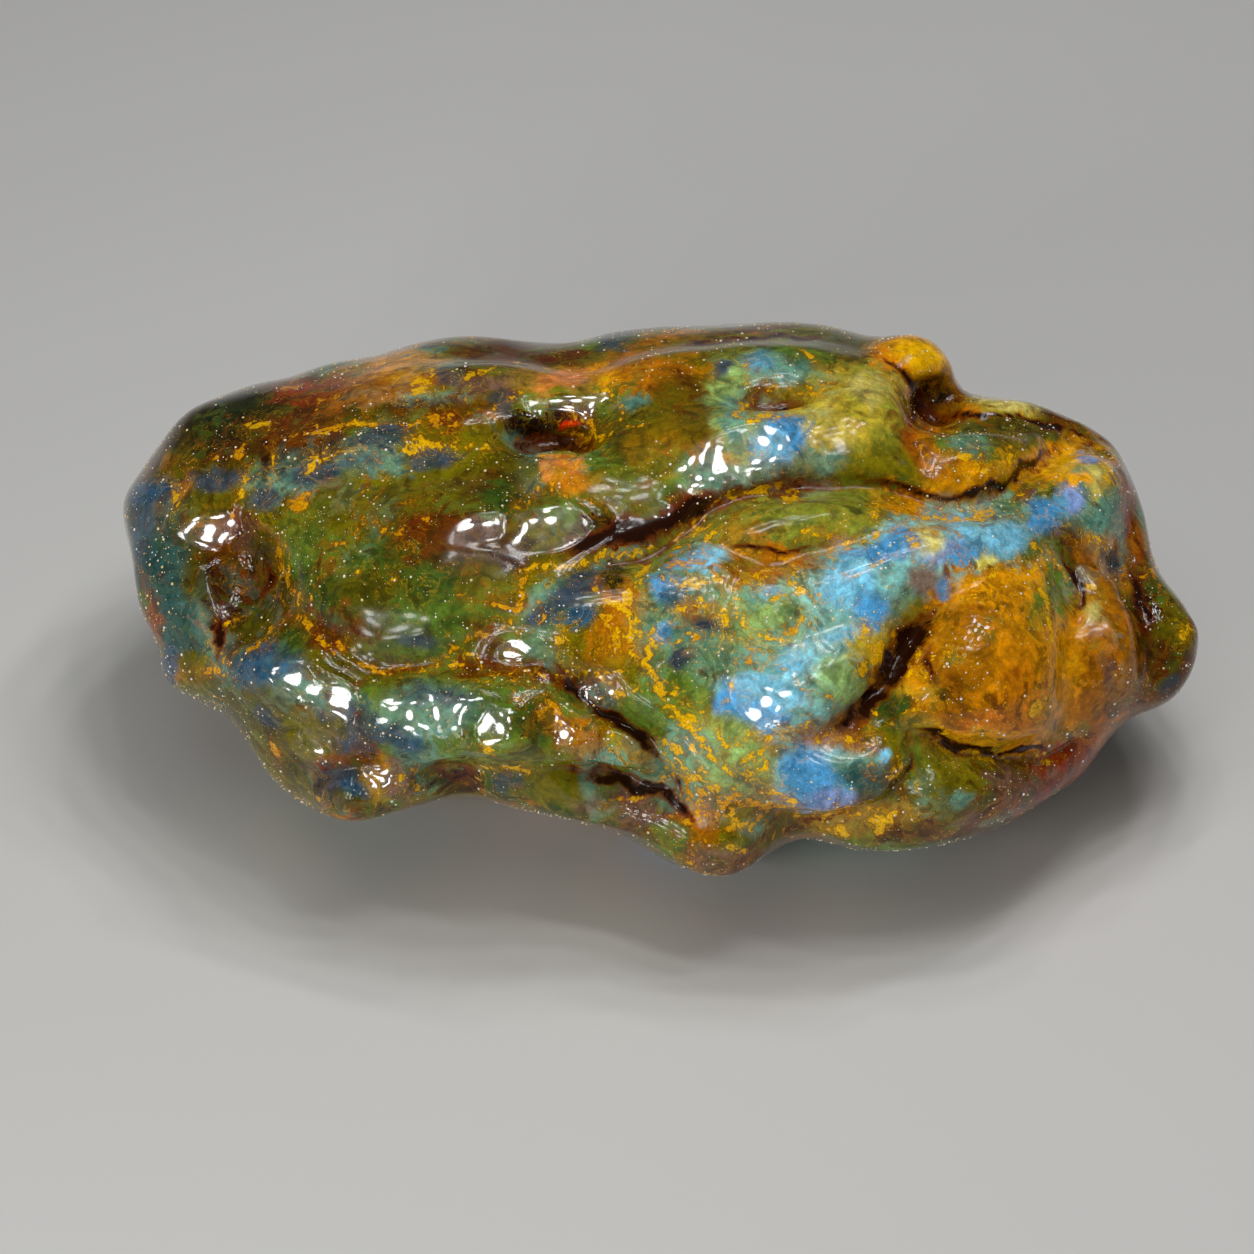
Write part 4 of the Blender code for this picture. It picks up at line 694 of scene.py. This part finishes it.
# golden seams: how orange, half width, strength, points
seams = [
    (0.1, 1.1, 0.9, [(-0.4, 3.2), (-1.2, 1.8), (-1.9, 0.4), (-2.8, -0.8), (-2.2, -2.4)]),
    (0.3, 0.5, 0.9, [(-2.2, -2.4), (-1.7, -4), (-1, -5.4), (0, -6.8), (0.7, -8.4), (1.3, -9.8),
        (2.8, -11.4), (3.8, -12.6)]),
    (0.1, 0.25, 0.6, [(1.4, -7.6), (2.6, -9.4), (4.6, -10.8), (6.4, -12.8), (6.8, -14.4)]),
    (0.1, 0.2, 0.5, [(5, -14.6), (7, -16), (9.6, -17), (11.4, -16.4)]),
    (0.1, 0.3, 0.7, [(9.6, 1.6), (8.4, -0.4), (9.4, -2.8), (11.6, -4.2), (14, -3.4), (15, -1.2)]),
    (0.4, 0.3, 0.7, [(37.6, 3.4), (38.6, 0), (39.2, -4), (39, -8), (37.6, -11.6)]),
    (0.2, 0.3, 0.7, [(26.6, -3.4), (25.8, -5.4), (24.6, -7.4)]),
    (0.7, 0.2, 0.8, [(-41.8, -6.2), (-40.6, -5), (-38.6, -4.4), (-36.9, -2.8), (-35.6, -2), (-34.2, -2.2),
        (-32.9, -3.6), (-31.8, -5), (-30.8, -5.2)]),
    (0.7, 0.15, 0.8, [(-28.2, -6.5), (-25.8, -7.1), (-24.2, -6.6), (-22, -6.6), (-20.6, -6.2)]),
    (0.7, 0.15, 0.7, [(-20.6, -6.2), (-18.6, -4.8), (-16.6, -3.6), (-14.2, -2.4), (-13.2, -0.6),
        (-12.6, 1.4), (-12.2, 3.4)]),
    (0.15, 0.3, 0.9, [(-12, 3.2), (-10, 3.2), (-6, 3.2), (-3.4, 4), (-1, 4.6), (0.4, 5.6)]),
    (0.7, 0.3, 0.9, [(-36.6, 5.6), (-36.1, 3.2), (-35.2, 1.4), (-34.2, 0)]),
    (0.15, 0.2, 0.9, [(-39.9, 13.2), (-40.1, 11.6), (-40.3, 10)]),
    (0.5, 0.5, 0.8, [(3.4, 6.9), (6, 9), (8.4, 9.8), (11.4, 10.6), (14.6, 11)]),
    (0.15, 0.3, 0.8, [(2, 5.8), (4, 6.4), (6.4, 6.6)]),
    (0.85, 0.35, 0.8, [(7, 5.4), (9.6, 4.1), (12, 4), (14.6, 4.4), (17, 4.8)]),
    (0.15, 0.3, 0.8, [(14, 3.6), (13.8, 2), (14.6, 0.6), (15, -0.6)]),
    (0.5, 0.3, 0.8, [(17, 4.6), (20.4, 5.8), (23, 7.2), (26.4, 7.9), (30, 7.9), (33, 8.4)]),
    (0.85, 0.45, 0.95, [(27.6, -0.6), (25.6, -2.2), (24.2, -3.6), (23, -5.6), (21.8, -7.8), (20.6, -9.8),
        (19.2, -11.6), (17.6, -12.8), (15.6, -13.8)]),
    (0.15, 0.3, 0.7, [(31, 1.4), (33, 2.4), (36, 3.2)]),
    (0.5, 0.4, 0.8, [(8.8, 18.6), (10.4, 20.4), (12.6, 21), (15.4, 20.8), (16.6, 19.8)]),
    (0.15, 0.35, 0.8, [(9.4, 18), (11.2, 18.6), (13.6, 18.6)]),
    (0.15, 0.3, 0.7, [(-24, 15.4), (-21, 15.1), (-18.6, 14.8), (-15.6, 14.9)]),
    (0.85, 0.4, 0.7, [(-35.6, 16), (-33.6, 16.6), (-31, 16.6), (-29.4, 17.4)]),
    (0.15, 0.25, 0.7, [(-33.6, 13), (-31.4, 14.4), (-29, 14.4)]),
    (0, 0.25, 0.8, [(-6.8, 15.4), (-5.6, 16.2), (-4.2, 17)]),
    (0.5, 0.35, 0.8, [(-11, 10.6), (-12, 9), (-13.4, 8.4)]),
    (0.85, 0.4, 0.8, [(2, -16), (3.4, -17.8), (4.6, -19.6), (6.4, -21)]),
    (0.15, 0.3, 0.8, [(2.4, -16.6), (4.6, -17.6), (6.8, -18.2)]),
    (0.85, 0.3, 0.7, [(7.6, -19.8), (10, -19.6), (12, -19.8)]),
    (0.5, 0.4, 0.7, [(13, -19.4), (13.8, -21), (15.6, -21.6), (19, -20.8), (22, -20.2)]),
    (0, 0.25, 0.6, [(20.6, -14.2), (18.2, -13.4), (16.4, -14)]),
    (0.15, 0.25, 0.7, [(-14, -16.6), (-16.4, -16.9), (-12, -16.1)]),
    (0, 0.22, 0.9, [(28, -13.2), (29, -14.3), (30.6, -15.1), (32.4, -15.6), (34.8, -15.9), (37, -15.6),
        (39, -15.9)]),
    (0.85, 0.35, 0.7, [(-10.6, -8.9), (-12.2, -9.6), (-13.6, -10)]),
    (0.5, 0.4, 0.8, [(38.2, 5.4), (39.8, 4.2), (40.8, 2)]),
    (0.85, 0.3, 0.7, [(49, 2.4), (50, 3), (50.6, 1)]),
]

# the same kind of seams all over: width of the waves they follow, seed, how sparse
netLines = [(8.0, 51, -0.35), (13.0, 55, 0.0), (5.0, 58, -0.55)]

# plain marbling, hazes of the far side and small mottles over everything:
# tint, width, seed, where it starts, strength
marbling = [
    ("honey", 8.0, 24, 0.0, 1.0), ("green", 9.0, 25, 0.1, 0.9), ("brown", 7.0, 26, 0.15, 0.85),
    ("teal", 8.0, 27, 0.35, 0.8),
]
farHazes = [
    ("seaTeal", 12.0, 31, 0.3, 0.7), ("blue", 9.0, 32, 0.5, 0.8), ("slate", 8.0, 33, 0.45, 0.6),
    ("orange", 7.0, 34, 0.55, 0.5), ("yellowGreen", 7.5, 35, 0.45, 0.6), ("darkBrown", 9.0, 36, 0.4, 0.8),
]
mottles = [
    ("deepOlive", 2.4, 72, 0.6, 0.4), ("green", 2.8, 73, 0.6, 0.35), ("rust", 1.6, 74, 0.85, 0.4),
    ("darkBrown", 1.5, 75, 0.75, 0.5),
]

# painted shade, deep brown, in the folds: half width, strength, points
paintedFoldShades = [
    (1.9, 0.95, [(-9, 4.4), (-6, 5.4), (-2.6, 6.6), (0.4, 7), (3, 8.2), (5, 9.4), (7, 10.4)]),
    (0.4, 0.45, [(6, 10), (9, 11), (13, 11.6), (17, 11.9), (20, 12)]),
    (0.7, 0.8, [(21, 11.9), (24, 11.2), (27, 10.2), (30, 9.8), (33, 10.8), (35.6, 12.2), (38, 14),
        (41, 15.6)]),
    (0.5, 0.7, [(6.6, 6), (9.6, 5), (13, 5), (16, 5.4)]),
    (2, 1, [(27.6, -1.6), (26, -3.2), (24.6, -5), (23.4, -7.2), (22, -9.2)]),
    (1.5, 1, [(23.4, -7.2), (22, -9.2), (20.4, -11.2), (18.8, -12.4)]),
    (0.8, 0.9, [(27.4, -4), (26.8, -6.6), (28, -9)]),
    (0.4, 1, [(24.8, -12.9), (27, -13.1), (29, -14), (31, -14.9), (34, -15.2), (37, -15), (40, -15)]),
    (0.8, 0.9, [(-9.8, -6.4), (-7.6, -8.6), (-6, -10.4), (-3.6, -11.6), (-1.4, -13), (0.6, -14.8),
        (1.6, -16.4)]),
    (0.9, 1, [(-7, -18), (-5, -17.2), (-3.4, -17.6), (-1, -18.4), (1.6, -18.8), (3, -20.2), (4.4, -22)]),
    (0.5, 0.8, [(-22.6, -17), (-20, -17.6), (-17.8, -17.2), (-16, -16.6)]),
    (0.5, 0.9, [(29, 18.5), (33, 18.3), (37, 18.3), (41, 17.2), (45, 15.4)]),
    (0.7, 0.8, [(22.6, 24.8), (24.4, 23), (26.2, 21.4), (26.4, 18.8), (26, 16)]),
    (0.6, 0.8, [(40.4, 5.6), (41.6, 3), (42.2, 0.6), (41.8, -2.4)]),
    (0.8, 0.9, [(47.6, 4), (48, 1), (48.8, -1.6), (49.8, -4.4)]),
    (0.5, 0.7, [(-12, 23.9), (-7.6, 23.9)]),
    (0.5, 0.7, [(2, 25.4), (8, 26), (13, 26.1), (18, 25.8)]),
    (0.9, 0.8, [(-37, 4), (-37.6, 1), (-39, -0.6)]),
    (0.8, 0.8, [(-42.6, 0), (-42.4, -3.4), (-42.8, -6.4)]),
    (0.4, 0.7, [(-33.6, -15.6), (-31.4, -16.6), (-28.2, -16.2)]),
    (0.5, 0.7, [(13.4, -21.6), (16.6, -21.6), (20, -20.4)]),
    (0.6, 0.8, [(25.6, -14), (25.8, -16), (24, -18.4)]),
]

# where small pebbles in the skin catch the light: middle x and u, half widths, turn, strength
pebbly = [
    (31.5, -2.4, 5.5, 3.2, -25, 1), (-40.4, 3.6, 3.6, 3.6, 0, 0.9), (-30, -12, 9, 2.6, -15, 0.8),
    (-5, 8.4, 3, 2, 0, 0.3), (16, 12.8, 3.4, 1, 0, 0.9), (-31.4, 5, 2.4, 1.6, 0, 0.7),
    (-29, -19.4, 5, 2, 0, 0.8), (30, -17.5, 5, 2.4, 0, 0.8), (12.5, -10, 3, 3, 0, 0.8),
    (36, -14.9, 5, 0.6, 0, 1), (49.5, -1.4, 1.6, 3.4, 10, 0.8), (-12, -12.4, 9, 2.4, 0, 0.7),
    (-3, -20.4, 4, 1.6, -12, 0.8), (-34, 3, 5, 6, 0, 0.3), (-8, 17.4, 6, 3, 0, 0.6),
]


def paint(colours, tint, mask):
    colours += (linear(tint) - colours) * np.clip(mask, 0.0, 1.0)[:, None]


def paintWaves(colours, bent, table, rise, share=1.0, shift=0):
    # each tint of a table where its own waves are high
    for tint, size, seed, low, strength in table:
        mask = ramp(low, low + rise, wave(bent, size, seed + shift, 2))
        paint(colours, tint, mask * strength * share)


def paintPatches(colours, places, near, seed, table, layer):
    spots = bend(places, layer["bend"], *nuggetSet["patchBend"])
    spots = bend(spots, layer["fray"], nuggetSet["frayWidth"], seed)[:, :2]
    middle, depth, width, shift = layer["uneven"]
    uneven = middle + depth * wave(places, width, seed + shift, 2)
    for tint, *oval, strength in table:
        paint(colours, tint, patchMask(spots, oval, layer["soft"]) * strength * near * uneven)


def cloudColours(places, near, seed):
    # the cloudy colours: plain marbling with what the photo shows laid over it on the near side
    s = nuggetSet
    bent = bend(places, *s["broadBend"])
    bent = bend(bent, *s["cloudBend"], seed + 5)
    colours = np.tile(linear("olive"), (len(places), 1))
    paintWaves(colours, bent, marbling, s["marblingRise"])
    paintWaves(colours, bent, farHazes, s["farRise"], 1 - near)
    paintPatches(colours, places, near, seed, zones, s["zoneLayer"])
    paintWaves(colours, bent, mottles, s["marblingRise"], shift=seed)
    paintPatches(colours, places, near, seed, hazes, s["hazeLayer"])
    return colours


def seamField(places, spots, near):
    # millimetres outside the nearest golden seam, and how orange that seam is
    s = nuggetSet
    nearest = np.full(len(places), s["seamReach"])
    warmth = np.full(len(places), s["plainWarmth"])
    farGap = s["farSeamGap"] * (1.0 - near)

    def lay(gap, warm):
        np.copyto(warmth, warm, where=gap < nearest)
        np.minimum(nearest, gap, out=nearest)

    for warm, half, strength, points in seams:
        gap = lineDistance(spots, points)[0]
        lay(gap - s["seamHalf"] * half * strength + farGap, warm)
    for warm, x, u, along, across, turn, size in flecks:
        oval = ovalDistance(spots, x, u, along * size, across * size, turn)
        lay((oval - s["fleckHalf"]) * min(along, across) + farGap, warm)
    bent = bend(places, *s["broadBend"])
    for size, seed, sparse in netLines:
        gap = np.abs(wave(bent, size, seed, 2)) * size * 0.5
        patches = wave(places, size * s["netPatches"], seed + 1)
        gap += s["netGap"] * ramp(sparse + s["netFade"][0], sparse + s["netFade"][1], patches)
        lay(gap, 0.5 + 0.5 * wave(places, s["netWarmthWidth"], seed + 2))
    return nearest, warmth


def paintedFoldShading(spots, near, hollow):
    # painted shade: how dark the folds and hollows are
    s = nuggetSet
    endShade = 0.3
    shade = s["paintedHollowShade"] * ramp(*s["hollowDepth"], hollow)
    for half, strength, points in paintedFoldShades:
        gap, _, inner = lineDistance(spots, points)
        mask = np.exp(-((gap / (s["shadeHalf"] * half)) ** 2))
        mask *= endShade + (1.0 - endShade) * ramp(0.0, s["shadeEnds"], inner)
        shade = np.maximum(shade, mask * strength * near)
    return shade


def giveColour(mesh, name, colours):
    layer = mesh.color_attributes.new(name, "FLOAT_COLOR", "POINT")
    full = np.column_stack([colours, np.ones(len(colours))]).astype(np.float32)
    layer.data.foreach_set("color", full.ravel())


def giveNumber(mesh, name, values):
    layer = mesh.attributes.new(name, "FLOAT", "POINT")
    layer.data.foreach_set("value", values.astype(np.float32))


def paintNugget(surface):
    s = nuggetSet
    places = toFace(surface.points)
    near = ramp(*s["paintFacing"], surface.facing)
    finer = bend(places, *s["seamBend"])[:, :2]
    colours, others = [cloudColours(places, near, seed) for seed in s["cloudSeeds"]]
    giveColour(surface.mesh, "amberTint", colours)
    giveColour(surface.mesh, "underTint", others)
    seam, warmth = seamField(places, finer, near)
    shade = paintedFoldShading(finer, near, surface.hollowness(s["hollowRounds"]))
    pebbles = np.zeros(len(places))
    for *oval, strength in pebbly:
        pebbles = np.maximum(pebbles, patchMask(finer, oval, s["pebbleSoft"]) * near * strength)
    apart = surface.soften(np.linalg.norm(colours - others, axis=1), s["threadRounds"])
    leastThread, threadGain, mostThread = s["threads"]
    leastCloud, cloudGain, mostCloud = s["cloud"]
    cloud = np.minimum(leastCloud + cloudGain * (colours @ s["brightShare"]), mostCloud)
    coat = 1.0 - s["coatLoss"] * ramp(*s["coatFacing"], surface.facing)
    giveNumber(surface.mesh, "seam", seam)
    giveNumber(surface.mesh, "warmth", surface.soften(warmth, s["warmthRounds"]))
    giveNumber(surface.mesh, "threads", np.minimum(leastThread + threadGain * apart, mostThread))
    # the painted shade of the folds and hollows
    giveNumber(surface.mesh, "fold", shade)
    giveNumber(surface.mesh, "cloud", np.maximum(cloud, s["foldCloud"] * shade))
    giveNumber(surface.mesh, "pebbles", pebbles * (1.0 - surface.shine))
    giveNumber(surface.mesh, "shine", np.maximum(surface.shine, coat))
    print("painted")


class Wire:
    # an output of a shader node, so that maths on it reads as an expression
    def __init__(self, finish, socket):
        self.finish, self.socket = finish, socket

    def join(self, operation, a, b):
        return self.finish.add("ShaderNodeMath", {"operation": operation}, {0: a, 1: b})

    def __add__(self, other):
        return self.join("ADD", self, other)

    def __sub__(self, other):
        return self.join("SUBTRACT", self, other)

    def __rsub__(self, other):
        return self.join("SUBTRACT", other, self)

    def __mul__(self, other):
        return self.join("MULTIPLY", self, other)

    def size(self):
        return self.join("ABSOLUTE", self, 0.0)

    def above(self, other):
        return self.join("MAXIMUM", self, other)

    __radd__ = __add__
    __rmul__ = __mul__


class Finish:
    def __init__(self, name):
        self.material = bpy.data.materials.new(name)
        self.material.use_nodes = True
        self.tree = self.material.node_tree
        self.tree.nodes.clear()

    def add(self, kind, settings, sockets, out=0):
        node = self.tree.nodes.new(kind)
        for name, value in settings.items():
            if name == "stops":
                stops = node.color_ramp.elements
                while len(stops) < len(value):
                    stops.new(0.5)
                for stop, (place, shade) in zip(stops, value):
                    stop.position, stop.color = place, (shade, shade, shade, 1.0)
            else:
                setattr(node, name, value)
        for name, value in sockets.items():
            if isinstance(value, Wire):
                self.tree.links.new(value.socket, node.inputs[name])
            else:
                node.inputs[name].default_value = value
        return Wire(self, node.outputs[out]) if len(node.outputs) else None

    def mix(self, share, a, b, blend="MIX"):
        # colours mixed by a share
        settings = {"data_type": "RGBA", "blend_type": blend}
        return self.add("ShaderNodeMix", settings, {0: share, 6: a, 7: b}, 2)

    def noise(self, where, size, detail=2.0, roughness=0.5, distortion=0.0):
        # a soft noise whose waves are size millimetres wide
        sockets = {"Vector": where, "Scale": 1.0 / (size * mm), "Detail": detail,
                   "Roughness": roughness, "Distortion": distortion}
        return self.add("ShaderNodeTexNoise", {}, sockets)

    def steps(self, value, *stops):
        # a grey factor for colours, whose stops may go above 1 where it multiplies them
        return self.add("ShaderNodeValToRGB", {"stops": stops}, {"Fac": value})

    def rise(self, value, low, high):
        # 0 below low and 1 above high
        settings = {"interpolation_type": "SMOOTHSTEP"}
        return self.add("ShaderNodeMapRange", settings, {0: value, 1: low, 2: high})

    def fall(self, value, low, high):
        return 1.0 - self.rise(value, low, high)


def colour(tint):
    return (*linear(tint), 1.0)


def amberFinish():
    f = Finish("blueAmber")
    s = nuggetSet
    where = f.add("ShaderNodeTexCoord", {}, {}, "Object")
    painted = {}
    for name, out in (("amberTint", "Color"), ("underTint", "Color"), ("seam", "Fac"),
                      ("warmth", "Fac"), ("threads", "Fac"), ("fold", "Fac"), ("cloud", "Fac"),
                      ("pebbles", "Fac"), ("shine", "Fac")):
        painted[name] = f.add("ShaderNodeAttribute", {"attribute_name": name}, {}, out)
    wisp, curl, grit = [f.noise(where, *s[name]) for name in ("wisp", "curl", "grit")]
    # wisps of the two painted colours through each other
    base = f.mix(f.steps(wisp, *s["wispMix"]), painted["amberTint"], painted["underTint"])
    for noise, stops in ((wisp, "wispShades"), (curl, "curlShades"), (grit, "gritShades")):
        base = f.mix(1.0, base, f.steps(noise, *s[stops]), "MULTIPLY")
    # golden seams with frayed edges, a glow along them and threads about them
    wispSway, curlSway = wisp - 0.5, curl - 0.5
    edge = painted["seam"] + curlSway * s["curlFray"] + wispSway * s["wispFray"]
    warm = f.rise(painted["warmth"] + curlSway * s["warmthFray"], 0.0, 1.0)
    golden = f.mix(warm, colour("gold"), colour("amberGold"))
    golden = f.mix(1.0, golden, f.steps(grit, *s["goldShades"]), "MULTIPLY")
    glow = f.mix(warm, colour("honey"), colour("rust"))
    base = f.mix(f.fall(edge, *s["glowEdge"]) * s["glowShare"], base, glow)
    curlLines = f.fall(curlSway.size(), *s["curlLine"]) * s["curlLineShare"]
    lines = f.fall(wispSway.size(), *s["wispLine"]).above(curlLines)
    about = painted["threads"] + f.fall(painted["seam"], *s["threadReach"]) * s["threadShare"]
    threads = lines * about * f.rise(curl, *s["threadBreaks"])
    base = f.mix(f.fall(edge, *s["goldEdge"]).above(threads) * s["goldShare"], base, golden)
    # painted shade in the folds and hollows, with a rust-coloured edge
    dark = painted["fold"] + curlSway * s["foldFray"]
    shadeEdgeTone = f.mix(curl, colour("darkBrown"), colour("rust"))
    base = f.mix(f.rise(dark, *s["foldRust"]) * s["foldRustShare"], base, shadeEdgeTone)
    deep = f.mix(grit, colour("blackBrown"), colour("darkBrown"))
    base = f.mix(f.rise(dark, *s["foldDark"]), base, deep)
    # pebbly skin, which is glossier than the rest
    pebble = f.rise(f.noise(where, *s["pebble"]), *s["pebbleTops"])
    bump = f.add("ShaderNodeBump", {}, {
        "Strength": 1.0, "Distance": s["bumpHeight"] * mm, "Height": pebble * painted["pebbles"]})
    rough = s["roughness"] - s["pebbleGloss"] * painted["pebbles"]

    def body(through):
        return f.add("ShaderNodeBsdfPrincipled", {}, {
            "Base Color": base, "Roughness": rough, "Normal": bump, "IOR": s["ior"],
            "Specular IOR Level": s["gloss"], "Transmission Weight": through,
            "Coat Weight": painted["shine"], "Coat Roughness": s["coatRoughness"],
        })

    cloudy, clear = body(s["cloudyThrough"]), body(s["clearThrough"])
    both = f.add("ShaderNodeMixShader", {}, {0: painted["cloud"], 1: clear, 2: cloudy})
    inside = f.add("ShaderNodeVolumeAbsorption", {}, {
        "Color": (*s["absorb"], 1.0), "Density": s["absorbDensity"]})
    f.add("ShaderNodeOutputMaterial", {}, {"Surface": both, "Volume": inside})
    return f.material


def makeNugget():
    nugget = nuggetCopy()
    surface = Surface(nugget)
    sculpt(surface)
    paintNugget(surface)
    onlySelect(nugget)
    bpy.ops.object.shade_smooth()
    nugget.data.materials.append(amberFinish())
    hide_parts("amber_nugget")
    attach(nugget, "root")
    return surface


# pale specks that sit in the skin all over, partly dust and grit and partly painted glints, in millimetres
speckSet = {
    "count": 6500,
    "small": 0.05,
    "large": 0.2,
    "rarity": 5,    # a higher power makes the large ones rarer
    "sunk": 0.3,    # share of its radius that a speck's middle lies under the skin
    "foot": 1.0,    # none below this height, where the nugget touches the floor
    "seed": 7,
    "clumps": 6.0,
    "clumpSeed": 81,
    "crowding": (0.5, 0.9, 0.08, 1.5),    # middle and swing, least and most
    "toneWidth": 0.5,
    "toneFade": (0.4, 0.6),
    "gold": (0.85, 0.62, 0.2),
    "pale": (1.0, 0.97, 0.88),
    "roughness": 0.25,
}


def makeSpecks(surface):
    s = speckSet
    chance = np.random.RandomState(s["seed"])
    bpy.ops.object.select_all(action="DESELECT")
    bpy.ops.mesh.primitive_ico_sphere_add(subdivisions=1, radius=1.0)
    grain = bpy.context.active_object
    shape = coordsOf(grain.data)
    faces = np.array([p.vertices[:] for p in grain.data.polygons])
    bpy.data.objects.remove(grain)
    middle, swing, least, most = s["crowding"]
    clumps = wave(toFace(surface.points), s["clumps"], s["clumpSeed"], 2)
    crowd = np.clip(middle + swing * clumps, least, most)
    crowd[surface.points[:, 2] < s["foot"] * mm] = 0.0
    picked = chance.choice(len(crowd), s["count"], replace=False, p=crowd / crowd.sum())
    sizes = s["small"] + (s["large"] - s["small"]) * chance.rand(len(picked)) ** s["rarity"]
    middles = surface.points[picked] - surface.normals[picked] * sizes[:, None] * s["sunk"] * mm
    points = middles[:, None, :] + shape[None] * sizes[:, None, None] * mm
    corners = faces[None] + np.arange(len(picked))[:, None, None] * len(shape)
    mesh = bpy.data.meshes.new("dustAndGlintSpecks")
    mesh.from_pydata(points.reshape(-1, 3), [], corners.reshape(-1, 3))
    specks = bpy.data.objects.new("dustAndGlintSpecks", mesh)
    bpy.context.scene.collection.objects.link(specks)
    onlySelect(specks)
    bpy.ops.object.shade_smooth()
    specks.data.materials.append(speckFinish())
    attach(specks, "root")
    print("specks made")


def speckFinish():
    f = Finish("speckFinish")
    s = speckSet
    where = f.add("ShaderNodeTexCoord", {}, {}, "Object")
    pale = f.rise(f.noise(where, s["toneWidth"]), *s["toneFade"])
    tone = f.mix(pale, (*s["gold"], 1.0), (*s["pale"], 1.0))
    look = f.add("ShaderNodeBsdfPrincipled", {}, {"Base Color": tone, "Roughness": s["roughness"]})
    f.add("ShaderNodeOutputMaterial", {}, {"Surface": look})
    return f.material


# lengths of the floor and the light are in metres
studio = {
    "floorWidth": 6.0,
    "floorHeight": -0.05 * mm,
    "floorTone": (0.72, 0.71, 0.69),
    "floorRoughness": 0.7,
    "sky": (0.9, 0.95, 1.0),
    "skyStrength": 0.07,
    # soft panels: place, width, watts
    "panels": [((-0.10, -0.30, 0.75), 0.4, 0.7)],
    # groups of small round lamps, whose reflections make the clustered glints:
    # distance, turn from straight in front, height angle, columns, rows, gap, lamp width, watts
    "lampGroups": [
        (0.40, 73, 80, 4, 3, 0.066, 0.034, 0.075),
        (0.40, -37, 14, 3, 3, 0.066, 0.034, 0.07),
    ],
    # how unevenly the lamps of a group stand and differ in width
    "jitter": 0.25,
    "lampSizes": (0.7, 1.2),
    "lampSeed": 5,
    "target": (0.0, 0.0, 0.02),
}


def lampWay(group):
    # the way from the nugget to a group of lamps
    turn, rise = (math.radians(angle) for angle in studio["lampGroups"][group][1:3])
    return np.array((math.sin(turn) * math.cos(rise), -math.cos(turn) * math.cos(rise), math.sin(rise)))


def makeLamp(name, place, shape, width, power):
    lamp = bpy.data.objects.new(name, bpy.data.lights.new(name, "AREA"))
    lamp.data.shape = shape
    lamp.data.size = width
    lamp.data.energy = power
    lamp.location = place
    lamp.rotation_mode = "QUATERNION"
    lamp.rotation_quaternion = (Vector(studio["target"]) - place).to_track_quat("-Z", "Y")
    lamp.visible_camera = False
    lamp.visible_glossy = name == "roundLamp"
    bpy.context.scene.collection.objects.link(lamp)


def makeLight():
    world = bpy.data.worlds.new("studio")
    world.use_nodes = True
    world.node_tree.nodes["Background"].inputs["Color"].default_value = (*studio["sky"], 1.0)
    world.node_tree.nodes["Background"].inputs["Strength"].default_value = studio["skyStrength"]
    bpy.context.scene.world = world
    for place, width, power in studio["panels"]:
        makeLamp("softPanel", Vector(place), "SQUARE", width, power)
    chance = np.random.RandomState(studio["lampSeed"])
    for group, (away, turn, _, columns, rows, gap, width, power) in enumerate(studio["lampGroups"]):
        out = Vector(lampWay(group))
        across = Vector((math.cos(math.radians(turn)), math.sin(math.radians(turn)), 0.0))
        up = out.cross(across)
        for row in range(rows):
            for column in range(columns):
                a = column - (columns - 1) / 2 + studio["jitter"] * chance.uniform(-1.0, 1.0)
                b = row - (rows - 1) / 2 + studio["jitter"] * chance.uniform(-1.0, 1.0)
                scale = chance.uniform(*studio["lampSizes"])
                place = Vector(studio["target"]) + out * away + (across * a + up * b) * gap
                makeLamp("roundLamp", place, "DISK", width * scale, power * scale**2)
    print("lit")


def makeFloor():
    bpy.ops.object.select_all(action="DESELECT")
    bpy.ops.mesh.primitive_plane_add(size=studio["floorWidth"], location=(0.0, 0.0, studio["floorHeight"]))
    floor = bpy.context.active_object
    floor.name = "floor"
    f = Finish("floorFinish")
    look = f.add("ShaderNodeBsdfPrincipled", {}, {
        "Base Color": (*studio["floorTone"], 1.0), "Roughness": studio["floorRoughness"]})
    f.add("ShaderNodeOutputMaterial", {}, {"Surface": look})
    floor.data.materials.append(f.material)
    print("floor laid")


def makeCamera():
    camera = bpy.data.objects.new("camera", bpy.data.cameras.new("camera"))
    bpy.context.scene.collection.objects.link(camera)
    half = face["frameWidth"] / 2
    camera.data.lens = camera.data.sensor_width / 2 * face["cameraAway"] / half
    turn = Matrix(faceAxes.T.tolist()).to_4x4()
    camera.matrix_world = Matrix.Translation(Vector(cameraPlace())) @ turn
    bpy.context.scene.camera = camera
    print("camera placed")


makeCamera()
surface = makeNugget()
makeSpecks(surface)
makeFloor()
makeLight()
bpy.context.scene.view_settings.view_transform = "Standard"
